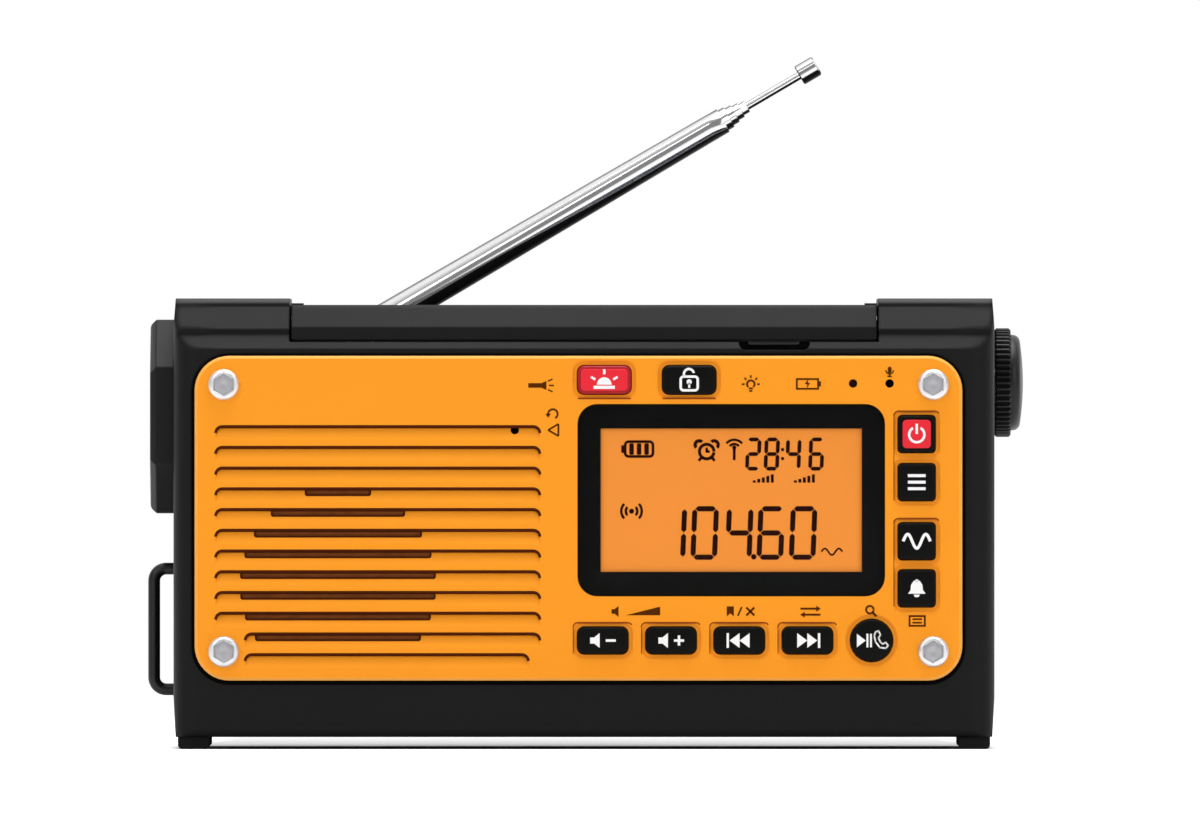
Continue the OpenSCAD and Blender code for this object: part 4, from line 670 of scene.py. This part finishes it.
KEY_FLANGE = 0.6 * MM
KEY_TRIM = 0.3 * MM
FLANGE_T = 1.0 * MM
STEM_L = 2.35 * MM
STEM_R = 1.2 * MM
CAP_SOFT = 0.55 * MM
RECESS_DEPTH = 0.35 * MM
COLLAR, COLLAR_T, COLLAR_LIP, COLLAR_PROUD = 0.35 * MM, 1.0 * MM, 0.05 * MM, 0.02 * MM
INLAYS = {"sos": (9.4 * MM, 4.4 * MM), "power": (5.7 * MM, 5.7 * MM)}
INLAY_R, INLAY_SOFT, INLAY_SUNK = 0.8 * MM, 0.2 * MM, 0.2 * MM
KEY_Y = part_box("power_button")[0].y
INLAY_Y = KEY_Y - 0.12 * MM
SIGN_SCALE = 1.18
# Each key with the radius of its corners in millimetres and its sign
KEYS = (
    ("sos", 1.5, BEACON), ("lock", 1.5, PADLOCK), ("power", 0.9, POWER), ("mode", 0.9, MENU),
    ("band", 0.9, SINE), ("alert", 0.9, BELL), ("volume_down", 1.5, SOFTER), ("volume_up", 1.5, LOUDER),
    ("previous", 1.5, SKIP_BACK), ("next", 1.5, SKIP_FORWARD), ("play", 4.4, PLAY_AND_CALL),
)


def key_cap(key, corner, mat, slot):
    """One key: cap, flange behind the front wall, stem towards its switch."""
    node = key + "_button"
    lo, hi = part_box(node)
    place = middle(node)
    width, height = hi.x - lo.x - 2 * KEY_FLANGE - KEY_TRIM, hi.z - lo.z - 2 * KEY_FLANGE - KEY_TRIM
    corner = min(corner, height / 2)
    flange_y = hi.y - STEM_L - FLANGE_T
    rings = soft_rings(width, height, corner, place, lo.y, CAP_SOFT)
    cap = rounded_outline(width, height, corner)
    wide = rounded_outline(width + 2 * KEY_FLANGE, height + 2 * KEY_FLANGE, corner + KEY_FLANGE)
    stem = rounded_outline(2 * STEM_R, 2 * STEM_R, STEM_R)
    for outline, y in ((cap, flange_y), (wide, flange_y), (wide, flange_y + FLANGE_T),
                       (stem, flange_y + FLANGE_T), (stem, hi.y)):
        rings.append(ring_at(outline, *place, y))
    lofted_piece(key + "_cap", rings, key + "_key", mat, slot, (node,))


def key_sign(key, figures, y_front):
    """A raised sign on the front of a key."""
    bm = bmesh.new()
    print_figures(bm, moved(figures, 0, 0, SIGN_SCALE), middle(key + "_button"), y_front)
    add_piece(key + "_sign", bm, key + "_key", PRINT_WHITE)


def key_collar(bm, key, corner):
    """A thin lip of the plate round the hole of one key."""
    lo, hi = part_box(key + "_button")
    width, height = hi.x - lo.x - 2 * KEY_FLANGE, hi.z - lo.z - 2 * KEY_FLANGE
    corner = min(corner, height / 2)
    rings = []
    for grow, y in ((COLLAR, COLLAR_LIP), (COLLAR, -COLLAR_PROUD), (0, -COLLAR_PROUD), (0, COLLAR_T),
                    (COLLAR, COLLAR_T)):
        outline = rounded_outline(width + 2 * grow, height + 2 * grow, corner + grow)
        rings.append(ring_at(outline, *middle(key + "_button"), PLATE_Y + RECESS_DEPTH + y))
    loop_loft(bm, rings)


collars = bmesh.new()
for key, corner, sign in KEYS:
    key_slot = "key_red" if key == "sos" else "key_black"
    key_cap(key, corner * MM, SOS_PAINTED_SHADE_RED if key == "sos" else FINISH[key_slot], key_slot)
    key_sign(key, sign, INLAY_Y if key in INLAYS else KEY_Y)
    key_collar(collars, key, corner * MM)
add_piece("key_collars", collars, "case", FINISH["faceplate_orange"], "faceplate_orange")

for key, size in INLAYS.items():
    rings = soft_rings(*size, INLAY_R, middle(key + "_button"), INLAY_Y, INLAY_SOFT)
    rings.append(ring_back(rings[-1], KEY_Y + INLAY_SUNK))
    lofted_piece(key + "_inlay", rings, key + "_key", FINISH["key_red"], "key_red")


# Plate screws: domed heads with a hexagon socket

HEAD_R = 3.15 * MM
SHANK_R = 1.5 * MM
SOCKET = 1.95 * MM
SOCKET_EDGE = 0.12 * MM
SOCKET_DEPTH = 0.6 * MM
SOCKET_END = SOCKET_DEPTH + 0.3 * MM
SCREW_STEPS = 48
SCREW_LO, SCREW_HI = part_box("faceplate_screws")


def screw_ring(x, z, y, radius, hexagon=False):
    """A ring across Y, round or a hexagon whose flats lie at the radius."""
    ring = []
    for i in range(SCREW_STEPS):
        a = 2 * math.pi * i / SCREW_STEPS
        r = radius / math.cos(a % (math.pi / 3) - math.pi / 6) if hexagon else radius
        ring.append(Vector((x + r * math.sin(a), y, z + r * math.cos(a))))
    return ring


def plate_screw(bm, x, z):
    top = SCREW_LO.y
    profile = ((SHANK_R, SCREW_HI.y), (SHANK_R, PLATE_Y), (HEAD_R, PLATE_Y), (HEAD_R, top + 0.95 * MM),
               (HEAD_R * 0.975, top + 0.6 * MM), (HEAD_R * 0.91, top + 0.28 * MM),
               (HEAD_R * 0.82, top + 0.08 * MM), (HEAD_R * 0.75, top))
    rings = [screw_ring(x, z, y, radius) for radius, y in profile]
    for apothem, sink in ((SOCKET + SOCKET_EDGE, 0), (SOCKET, SOCKET_EDGE), (SOCKET, SOCKET_END)):
        rings.append(screw_ring(x, z, top + sink, apothem, hexagon=True))
    loft(bm, [*rings, screw_ring(x, z, top + SOCKET_END, 0.5 * MM)])


def socket_floor(bm, x, z):
    """The flat bottom of a socket with the dimple of its drill, in a darker metal that is painted shade."""
    floor_y = SCREW_LO.y + SOCKET_DEPTH
    rings = []
    for inset, sink in ((0.02, 0.25), (0.02, 0.06), (0.14, 0)):
        rings.append(screw_ring(x, z, floor_y + sink * MM, SOCKET - inset * MM, hexagon=True))
    for radius, sink in ((0.7, 0), (0.1, 0.15)):
        rings.append(screw_ring(x, z, floor_y + sink * MM, radius * MM))
    loft(bm, rings)


heads = bmesh.new()
sockets = bmesh.new()
for screw_x in (SCREW_LO.x + HEAD_R, SCREW_HI.x - HEAD_R):
    for screw_z in (SCREW_LO.z + HEAD_R, SCREW_HI.z - HEAD_R):
        plate_screw(heads, screw_x, screw_z)
        socket_floor(sockets, screw_x, screw_z)
add_piece("plate_screws", heads, "case", FINISH["screw_silver"], "screw_silver", ("faceplate_screws",))
add_piece("screw_sockets_painted_shade", sockets, "case", SOCKET_PAINTED_SHADE, "screw_silver")


# Print on the plate: plain signs beside the keys, holes and lights, at x and z in millimetres

PLATE_SIGNS = (
    (TORCH, -8.5, 72.6), (BULB, 33.3, 72.5), (CHARGING, 44.6, 72.9), (MICROPHONE, 61.0, 75.7),
    (RETURN_ARROW, -6.2, 66.9), (POINTER, -6.0, 63.7), (VOLUME_WEDGE, 10.6, 27.5), (BOOKMARK, 31.4, 27.5),
    (SWAP_ARROWS, 45.2, 27.5), (MAGNIFIER, 57.3, 27.6), (SCREEN, 66.5, 25.6),
)


def printed_piece(name, signs, y_surface, mat):
    """Signs on one surface of the case, each with its place in millimetres."""
    bm = bmesh.new()
    for figures, x, z in signs:
        print_figures(bm, figures, (x * MM, z * MM), y_surface)
    add_piece(name, bm, "case", mat)


printed_piece("plate_print", PLATE_SIGNS, PLATE_Y, PRINT_BROWN)


# Display: a soft-edged window, and dark segments on the amber panel

LENS_R, LENS_SOFT, LENS_SUNK = 3.9 * MM, 0.3 * MM, 0.05 * MM
rings = soft_rings(LENS_HI.x - LENS_LO.x, LENS_HI.z - LENS_LO.z, LENS_R, middle("display_lens"), LENS_LO.y,
                   LENS_SOFT)
rings.append(ring_back(rings[-1], LENS_HI.y - LENS_SUNK))
lofted_piece("window_lens", rings, "case", FINISH["lens_clear"], "lens_clear", ("display_lens",))

# Width, height, line and gap of the digits, and the height of their middle
BIG, BIG_Z = (5.34, 10.7, 1.03, 0.1), 43.15
SMALL, SMALL_Z = (3.06, 6.6, 0.76, 0.06), 58.9
BIG_DIGITS = (("1", 17.75), ("0", 24.1), ("4", 31.0), ("6", 37.3), ("0", 43.75))
SMALL_DIGITS = (("2", 33.8), ("8", 37.5), ("4", 41.8), ("6", 46.4))
DISPLAY_SIGNS = (
    *[(digit(char, *BIG), x, BIG_Z) for char, x in BIG_DIGITS],
    *[(digit(char, *SMALL), x, SMALL_Z) for char, x in SMALL_DIGITS],
    (BATTERY, 11.0, 59.9), (ALARM_CLOCK, 24.5, 59.6), (RECEPTION, 30.0, 59.7), (BROADCAST, 9.5, 47.5),
    (SIGNAL_STEPS, 35.8, 54.0), (SIGNAL_STEPS, 44.0, 54.0), ([wave_stroke(4.2, 1.3, 0.34)], 49.5, 39.4),
    ([disc(0, 0, 0.55)], 33.9, 38.4), ([disc(0, 0.9, 0.32), disc(0, -0.9, 0.32)], 39.65, 58.9),
)
printed_piece("lcd_segments", DISPLAY_SIGNS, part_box("lcd_module")[0].y, SEGMENT_DARK)


# Grille: a painted shadow line along the top of each louvre, a lining of painted shade round the inside of
# each speaker slot, and cloth in each slot

GROOVES = 12
GROOVE_TOP = PLATE_HI.z - 14.3 * MM
GROOVE_PITCH = (PLATE_HI.z - PLATE_LO.z - 19.7 * MM) / (GROOVES - 1)
GROOVE_LEFT, SHORT_LEFT = -73.5 * MM, -67.6 * MM
GROOVE_RIGHT, SHORT_RIGHT = -8.8 * MM, -11.1 * MM
GROOVE_R = 1.3 * MM
GROOVE_RUN = 2.7 * MM
GROOVE_DEPTH = 1.0 * MM
LINE_IN, LINE_SWELL, LINE_OUT = 0.26 * MM, 0.1 * MM, 0.28 * MM
LINE_PROUD, FLOOR_PROUD, LINE_ROOT, LINE_FOLD = 0.04 * MM, 0.05 * MM, 0.1 * MM, 0.03 * MM
LINING_OUT, LINING_IN = -0.03 * MM, 0.28 * MM
HOOK_STEPS = 8
SLOT_H = 1.45 * MM
SLOTS = range(3, 11)
MESH_LO, MESH_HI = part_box("speaker_mesh")
SLOT_X, SLOT_Z = middle("speaker_mesh")
SLOT_RING = (MESH_HI.x - MESH_LO.x) / 2


def groove_top(n):
    return GROOVE_TOP - n * GROOVE_PITCH


def ramp_y(z, top):
    """Where the slanted floor of a louvre lies at a height."""
    return PLATE_Y + GROOVE_DEPTH * max(0.0, 1 - (top - z) / GROOVE_RUN)


def painted_louvre_shadow(bm, n):
    """A painted shadow stroke under the top edge of one louvre, hooked down at both ends; the lowest are
    shorter.
    """
    top = groove_top(n)
    left = SHORT_LEFT if n >= GROOVES - 2 else GROOVE_LEFT
    right = SHORT_RIGHT if n == GROOVES - 1 else GROOVE_RIGHT
    shares = [i / HOOK_STEPS for i in range(HOOK_STEPS + 1)]
    path = [(left + GROOVE_R, 180 - 90 * share, share) for share in shares]
    path += [(right - GROOVE_R, 90 * share, share) for share in reversed(shares)]
    far = GROOVE_R + LINE_OUT
    rings = []
    for x, deg, share in path:
        c, s = math.cos(math.radians(deg)), math.sin(math.radians(deg))
        near = GROOVE_R - LINE_IN - LINE_SWELL * share
        floor_y = ramp_y(top - GROOVE_R + near * s, top)
        ring = []
        for radius, y in ((far, PLATE_Y - LINE_PROUD), (GROOVE_R - LINE_FOLD, PLATE_Y - LINE_PROUD),
                          (near, floor_y - FLOOR_PROUD), (near, floor_y + LINE_ROOT),
                          (far, floor_y + LINE_ROOT)):
            ring.append(Vector((x + radius * c, y, top - GROOVE_R + radius * s)))
        rings.append(ring)
    loft(bm, rings)


def slot_ring(n, inset, radius, y=0.0):
    """The outline of one speaker slot, drawn in by an inset."""
    z = groove_top(n) - SLOT_H / 2
    half = math.sqrt(max(MM * MM, SLOT_RING ** 2 - (z - SLOT_Z) ** 2))
    return ring_at(rounded_outline(2 * (half - inset), SLOT_H - 2 * inset, radius), SLOT_X, z, y)


def slot_painted_shade_lining(bm, n):
    """A dark sleeve of painted shade round the inside of one slot."""
    outer, inner = slot_ring(n, LINING_OUT, 0.5 * MM), slot_ring(n, LINING_IN, 0.25 * MM)
    top = groove_top(n)
    front = [[Vector((p.x, ramp_y(p.z, top) - FLOOR_PROUD, p.z)) for p in ring] for ring in (outer, inner)]
    loop_loft(bm, [*front, *[ring_back(ring, PLATE_HI.y - LINE_ROOT) for ring in (inner, outer)]])


def slot_cloth(bm, n):
    """The speaker cloth that bulges into one slot, in a brown that is partly painted light from the orange
    slot walls.
    """
    rows = ((0.5, 0), (0.3, 0.12), (0.2, 0.4), (0.2, 1.0))
    loft(bm, [slot_ring(n, inset * MM, 0.2 * MM, PLATE_Y + GROOVE_DEPTH + y * MM) for inset, y in rows])


lines = bmesh.new()
for groove in range(GROOVES):
    painted_louvre_shadow(lines, groove)
cloth = bmesh.new()
for groove in SLOTS:
    slot_painted_shade_lining(lines, groove)
    slot_cloth(cloth, groove)
add_piece("louvre_painted_shadows", lines, "case", PAINTED_SHADE_BROWN)
add_piece("slot_cloth", cloth, "case", CLOTH_BROWN_PAINTED_LIGHT, "mesh_cloth")


# Plate edge: a painted highlight on the bevel, and outside it a painted shadow over the dark joint, widest
# under the plate

PLATE_R = 7.1 * MM
PLATE_BEVEL = 0.7 * MM
PLATE_PROUD = 1.2 * MM
SEAM_IN, SEAM_OUT, SEAM_DROP = 0.2 * MM, 0.4 * MM, 0.3 * MM
BEAD_IN = 0.75 * MM
LIFT, BEAD_LIFT = 0.03 * MM, 0.02 * MM
WALL_Y = PLATE_Y + PLATE_PROUD


def plate_ring(inset, y, drop=0.0):
    """The outline of the plate, drawn in by an inset and lowered by a drop."""
    outline = rounded_outline(PLATE_HI.x - PLATE_LO.x - 2 * inset, PLATE_HI.z - PLATE_LO.z - 2 * inset,
                              PLATE_R - inset, 10)
    x, z = middle("faceplate")
    return ring_at(outline, x, z - drop, y)


def bevel_y(inset):
    return PLATE_Y + max(0.0, PLATE_BEVEL - inset)


def plate_band(name, rows, mat):
    """A closed band through plate rings, each with its inset, its y and its drop."""
    bm = bmesh.new()
    loop_loft(bm, [plate_ring(*row) for row in rows])
    add_piece(name, bm, "case", mat)


# Painted shadow: black over the joint, dropped so that it lies widest under the plate
plate_band("plate_painted_shadow", (
    (SEAM_IN, bevel_y(SEAM_IN) - LIFT), (-LIFT, bevel_y(0) - LIFT), (-LIFT, WALL_Y - LIFT),
    (-SEAM_OUT, WALL_Y - LIFT, SEAM_DROP), (-SEAM_OUT, WALL_Y + LIFT, SEAM_DROP), (SEAM_IN, WALL_Y + LIFT),
), PAINTED_SHADOW_BLACK)
# Painted highlight: a paler orange along the bevel of the plate
plate_band("plate_painted_highlight", (
    (BEAD_IN, PLATE_Y - BEAD_LIFT), (PLATE_BEVEL, PLATE_Y - BEAD_LIFT),
    (SEAM_IN, bevel_y(SEAM_IN) - BEAD_LIFT), (SEAM_IN, bevel_y(SEAM_IN) + LIFT), (BEAD_IN, PLATE_Y + LIFT),
), PAINTED_HIGHLIGHT_ORANGE)


# Key recesses: painted shadow strokes along the edges of the shallow panels that the keys sit in, in
# millimetres

RECESS, RECESS_R = 0.7, 0.9
EDGE_W, CORNER_W, SIDE_W = 0.34, 0.3, 0.16
RECESS_SHADOW_SIDES = (
    (("sos",), "low"), (("lock",), "low"), (("power", "mode"), "top"), (("band", "alert"), "top"),
    (("volume_down",), "top"), (("volume_up",), "top"), (("previous",), "top"), (("next",), "top"),
)


def recess_shadow_stroke(bm, keys, side):
    """A painted shadow stroke along the top or the foot of a panel, with a thinner one down its left side
    from the top.
    """
    boxes = [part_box(key + "_button") for key in keys]
    grow = RECESS - KEY_FLANGE / MM
    left, right = boxes[0][0].x / MM - grow, boxes[0][1].x / MM + grow
    low, top = min(lo.z for lo, hi in boxes) / MM - grow, max(hi.z for lo, hi in boxes) / MM + grow
    z = top if side == "top" else low
    strokes = [bar(left + RECESS_R, z, right - RECESS_R, z, EDGE_W)]
    if side == "top":
        strokes += [arc(left + RECESS_R, top - RECESS_R, RECESS_R, 90, 180, CORNER_W, 6),
                    arc(right - RECESS_R, top - RECESS_R, RECESS_R, 30, 90, CORNER_W, 6),
                    bar(left, low + RECESS_R, left, top - RECESS_R, SIDE_W)]
    print_figures(bm, strokes, (0, 0), PLATE_Y, height=0.02)


edges = bmesh.new()
for panel_keys, edge_side in RECESS_SHADOW_SIDES:
    recess_shadow_stroke(edges, panel_keys, edge_side)
add_piece("recess_painted_shadows", edges, "case", PAINTED_SHADOW_ORANGE)


# Knob: grip ribs in a lighter black painted as light, round a darker core that is painted shade in the
# grooves, and a soft domed cap

KNOB_LO, KNOB_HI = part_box("tuning_knob")
KNOB_Y, KNOB_Z = (KNOB_LO.y + KNOB_HI.y) / 2, (KNOB_LO.z + KNOB_HI.z) / 2
KNOB_R = (KNOB_HI.z - KNOB_LO.z) / 2
RIBS, RIB_H = 56, 0.75 * MM
RING_W = 3.2 * MM
REAR_SOFT, FRONT_SOFT = 0.35 * MM, 0.4 * MM
CAP_R, CAP_EDGE, DOME = 9.6 * MM, 1.5 * MM, 0.6 * MM
CORE_R = KNOB_R - RIB_H + 0.15 * MM


def knob_ring(x, radius, sink=0.0):
    """A ring across X; with a sink, one rib and one groove in each share of the turn."""
    ring = []
    for i in range(4 * RIBS):
        r = radius - (sink if i % 4 > 1 else 0)
        a = 2 * math.pi * i / (4 * RIBS)
        ring.append(Vector((x, KNOB_Y + r * math.cos(a), KNOB_Z + r * math.sin(a))))
    return ring


rings = [knob_ring(KNOB_LO.x, KNOB_R - REAR_SOFT, RIB_H - REAR_SOFT),
         knob_ring(KNOB_LO.x + REAR_SOFT, KNOB_R, RIB_H),
         knob_ring(KNOB_LO.x + RING_W - FRONT_SOFT, KNOB_R, RIB_H),
         knob_ring(KNOB_LO.x + RING_W, KNOB_R - FRONT_SOFT, RIB_H - FRONT_SOFT),
         knob_ring(KNOB_LO.x + RING_W, CAP_R)]
for swing in map(math.radians, (0, 22.5, 45, 67.5)):
    rings.append(knob_ring(KNOB_HI.x - DOME - CAP_EDGE * (1 - math.sin(swing)),
                           CAP_R - CAP_EDGE * (1 - math.cos(swing))))
for share in (1, 0.8, 0.6, 0.4, 0.2, 0.04):
    rings.append(knob_ring(KNOB_HI.x - DOME * share ** 2, (CAP_R - CAP_EDGE) * share))
lofted_piece("knob_shell", rings, "knob", KNOB_BLACK_PAINTED_LIGHT, "case_black", ("tuning_knob",), sharp_deg=40)

# Painted shade: a darker core that fills the floors of the grooves
rings = turned_rings((KNOB_LO.x, KNOB_Y, KNOB_Z), (1, 0, 0),
                     ((CORE_R - 0.2 * MM, 0.1 * MM), (CORE_R, 0.3 * MM), (CORE_R, RING_W - 0.3 * MM),
                      (CORE_R - 0.2 * MM, RING_W - 0.1 * MM)), steps=96)
lofted_piece("knob_painted_shade_core", rings, "knob", FINISH["key_black"], "key_black")


# Lid: a seal under its front edge and a pull in the finger notch

SEAL_END, SEAL_BACK, SEAL_DROP = 0.6 * MM, 0.9 * MM, 0.13 * MM
PULL_X, PULL_W, PULL_H, PULL_DROP = 37.9 * MM, 10.6 * MM, 1.3 * MM, 0.6 * MM
PULL_FRONT, PULL_BACK, PULL_R, PULL_SOFT = 0.5 * MM, 2.4 * MM, 0.6 * MM, 0.45 * MM

outline = rounded_outline(0.8 * MM, 0.5 * MM, 0.15 * MM, 3)
rings = [[Vector((x, LID_LO.y + SEAL_BACK + u, LID_LO.z - SEAL_DROP + v)) for u, v in outline]
         for x in (LID_LO.x + SEAL_END, LID_HI.x - SEAL_END)]
lofted_piece("lid_seal", rings, "lid", FINISH["rubber_black"], "rubber_black")

rings = soft_rings(PULL_W, PULL_H, PULL_R, (PULL_X, LID_LO.z - PULL_DROP), LID_LO.y + PULL_FRONT, PULL_SOFT)
rings.append(ring_back(rings[-1], LID_LO.y + PULL_BACK))
lofted_piece("lid_pull", rings, "lid", FINISH["loop_black"], "loop_black")


# Antenna: chamfered tip on its rod

PIVOT = Vector(JOINTS["antenna_raise"]["pos_m"])
ALONG = Vector(JOINTS["draw_tip"]["axis"]).normalized()
TIP_R, TIP_L, ROD_R = 2.1 * MM, 4.1 * MM, 0.8 * MM
TIP = NODES["antenna_tip"]
spots = [(TIP.matrix_world @ v.co - PIVOT).dot(ALONG) for v in TIP.data.vertices]
tip_start, tip_end = max(spots) - TIP_L, max(spots)
rings = turned_rings(PIVOT, ALONG, (
    (ROD_R, min(spots)), (ROD_R, tip_start), (TIP_R - 0.2 * MM, tip_start), (TIP_R, tip_start + 0.2 * MM),
    (TIP_R, tip_end - 0.3 * MM), (TIP_R - 0.3 * MM, tip_end)))
lofted_piece("antenna_cap", rings, "stage_tip", STAGE_CHROME_PAINTED_REFLECTION, "antenna_chrome", ("antenna_tip",))


# Crank: a capped hub screw and a ribbed grip; a port cover with grip ribs

HUB = Vector(JOINTS["crank_turn"]["pos_m"])
HUB_PROFILE = ((4.6, -0.1), (4.6, 0.35), (4.2, 0.75), (2.2, 0.9), (2.0, 0.4), (0.4, 0.3))
rings = turned_rings((HUB.x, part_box("crank_arm")[1].y, HUB.z), (0, 1, 0),
                     [(radius * MM, along * MM) for radius, along in HUB_PROFILE])
lofted_piece("crank_hub", rings, "crank", FINISH["steel"], "steel")

GRIP_LO, GRIP_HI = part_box("crank_handle")
GRIP_MID = (GRIP_LO + GRIP_HI) / 2
GRIP_R = (GRIP_HI.z - GRIP_LO.z) / 2
GRIP_RIBS, GRIP_START, GRIP_PITCH = 9, 7.4 * MM, 1.4 * MM
grip = bmesh.new()
for i in range(GRIP_RIBS):
    loft(grip, turned_rings((GRIP_LO.x + GRIP_START + GRIP_PITCH * i, GRIP_MID.y, GRIP_MID.z), (1, 0, 0), (
        (GRIP_R - 0.05 * MM, 0), (GRIP_R + 0.12 * MM, 0.2 * MM), (GRIP_R + 0.12 * MM, 0.6 * MM),
        (GRIP_R - 0.05 * MM, 0.8 * MM))))
add_piece("handle_grip", grip, "handle", FINISH["rubber_black"], "rubber_black")

FLAP_LO, FLAP_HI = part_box("port_cover")
FLAP_RIBS, FLAP_START, FLAP_PITCH = 4, 1.6 * MM, 1.1 * MM
outline = rounded_outline(11 * MM, 0.5 * MM, 0.24 * MM, 3)
ribs = bmesh.new()
for i in range(FLAP_RIBS):
    y, z = (FLAP_LO.y + FLAP_HI.y) / 2, FLAP_HI.z - FLAP_START - FLAP_PITCH * i
    loft(ribs, [[Vector((FLAP_HI.x + dx * MM, y + u * scale, z + v * scale)) for u, v in outline]
                for dx, scale in ((-0.1, 1), (0.05, 1), (0.14, 0.97))])
add_piece("cover_ribs", ribs, "port_flap", FINISH["rubber_black"], "rubber_black")


# Floor, lights, background and camera

WHITE = (1, 1, 1, 1)
PAPER, PAPER_DARK, PAPER_LIGHT = (0.86, 0.86, 0.86), (0.85, 0.85, 0.85), (0.87, 0.87, 0.87)
FLOOR_SIZE = 6
FLOOR_GLOW = 0.62
# The painted shadow on the floor: its grey, and how it fades beside, before and behind the body
PAINTED_SHADOW_GREY = (0.6, 0.6, 0.6)
FADE_SIDE, FADE_FRONT, FADE_BEHIND = 3 * MM, 6 * MM, 360 * MM
FADE_POWER = 1.3
SHADE_IN, SHADE_SPREAD = 2 * MM, 0.1
AMBIENT = 0.45
GLOSS_SHARE = 0.4
FRONT_GLOSS = 0.25
AIM = (0, 0, 0.05)
EYE_X, EYE_Z, EYE_AWAY, EYE_LENS = 3.2 * MM, 65.7 * MM, 6.0, 902


def floor():
    """A pale sheet, white to the camera, in gloss and through clear pieces, that keeps the shadow, with a
    painted shadow under and behind the body: grey in its colour and no glow there.
    """
    mat = new_material("floor_paper", PAPER, 0.9, spec=0.0)
    tint(mat, noise(mat, 30), PAPER_DARK, PAPER_LIGHT)
    path = node_of(mat, "ShaderNodeLightPath").outputs
    seen = math_node(mat, "MAXIMUM", path["Is Camera Ray"], path["Is Transmission Ray"])
    seen = math_node(mat, "MAXIMUM", seen, math_node(mat, "MULTIPLY", path["Is Glossy Ray"], GLOSS_SHARE))
    away = outside_painted_shadow(mat)
    set_shader(mat, "Emission Color", WHITE)
    glow = math_node(mat, "MULTIPLY", seen, FLOOR_GLOW)
    set_shader(mat, "Emission Strength", math_node(mat, "MULTIPLY", glow, away))
    # Painted shadow: grey laid into the floor's colour under and behind the body
    cover(mat, math_node(mat, "SUBTRACT", 1, away), PAINTED_SHADOW_GREY)
    bm = bmesh.new()
    bmesh.ops.create_grid(bm, x_segments=2, y_segments=2, size=FLOOR_SIZE)
    mesh_object("floor", bm, mat)


def outside_painted_shadow(mat):
    """The mask of the painted shadow: 0 on the floor under the body and 1 away from it, with a long fade
    behind it that narrows.
    """
    place = node_of(mat, "ShaderNodeNewGeometry").outputs["Position"]
    y = axis_of(mat, place, "Y")
    before = math_node(mat, "SUBTRACT", -CASE_HI.y, y)
    behind = math_node(mat, "SUBTRACT", y, CASE_HI.y)
    spread = math_node(mat, "MULTIPLY", math_node(mat, "MAXIMUM", behind, 0), SHADE_SPREAD)
    side = math_node(mat, "ABSOLUTE", axis_of(mat, place, "X"))
    side = math_node(mat, "SUBTRACT", side, CASE_HI.x - SHADE_IN)
    shares = []
    for past, length in ((math_node(mat, "ADD", side, spread), math_node(mat, "ADD", spread, FADE_SIDE)),
                         (before, FADE_FRONT), (behind, FADE_BEHIND)):
        share = math_node(mat, "DIVIDE", past, length)
        shares.append(math_node(mat, "MINIMUM", math_node(mat, "MAXIMUM", share, 0), 1))
    beside, ahead, far = shares
    far = math_node(mat, "POWER", far, FADE_POWER)
    return math_node(mat, "MAXIMUM", math_node(mat, "MAXIMUM", beside, ahead), far)


def soft_light(name, place, size, power):
    """An area light that faces the body."""
    data = bpy.data.lights.new(name, "AREA")
    data.shape = "RECTANGLE"
    data.size, data.size_y = size
    data.energy = power
    lamp = add_object(name, data)
    lamp.location = place
    lamp.rotation_euler = (Vector(AIM) - Vector(place)).to_track_quat("-Z", "Y").to_euler()


def white_world():
    """White to the camera and through clear pieces, darker in gloss on the camera's side, softer as light."""
    world = bpy.data.worlds.new("studio")
    world.use_nodes = True
    world.node_tree.nodes.clear()
    path = node_of(world, "ShaderNodeLightPath").outputs
    facing = coords(world)["Generated"]
    away = math_node(world, "ADD", axis_of(world, facing, "Y"), axis_of(world, facing, "Z"))
    bright = mapped(world, away, -0.2, 0.8, FRONT_GLOSS, 1, "LINEAR")
    bright = math_node(world, "MAXIMUM", bright, path["Is Camera Ray"])
    ambient, seen = [node_of(world, "ShaderNodeBackground", {"Color": WHITE, "Strength": strength}).outputs[0]
                     for strength in (AMBIENT, bright)]
    direct = math_node(world, "MAXIMUM", path["Is Camera Ray"], path["Is Transmission Ray"])
    direct = math_node(world, "MAXIMUM", direct, path["Is Glossy Ray"])
    mix = node_of(world, "ShaderNodeMixShader", {"Fac": direct, 1: ambient, 2: seen})
    node_of(world, "ShaderNodeOutputWorld", {"Surface": mix.outputs[0]})
    bpy.context.scene.world = world


def front_camera():
    data = bpy.data.cameras.new("front_camera")
    data.sensor_width = 36
    data.lens = EYE_LENS
    data.clip_end = 30
    eye = add_object("front_camera", data)
    eye.location = (EYE_X, PLATE_Y - EYE_AWAY, EYE_Z)
    eye.rotation_euler = (math.radians(90), 0, 0)
    bpy.context.scene.camera = eye


floor()
white_world()
soft_light("top_softbox", (0.05, -0.05, 0.75), (0.7, 0.5), 4.8)
soft_light("front_left", (-0.6, -0.9, 0.55), (0.6, 0.6), 2.4)
soft_light("front_right", (0.65, -0.85, 0.45), (0.6, 0.6), 2.0)
front_camera()
bpy.context.scene.view_settings.view_transform = "Standard"
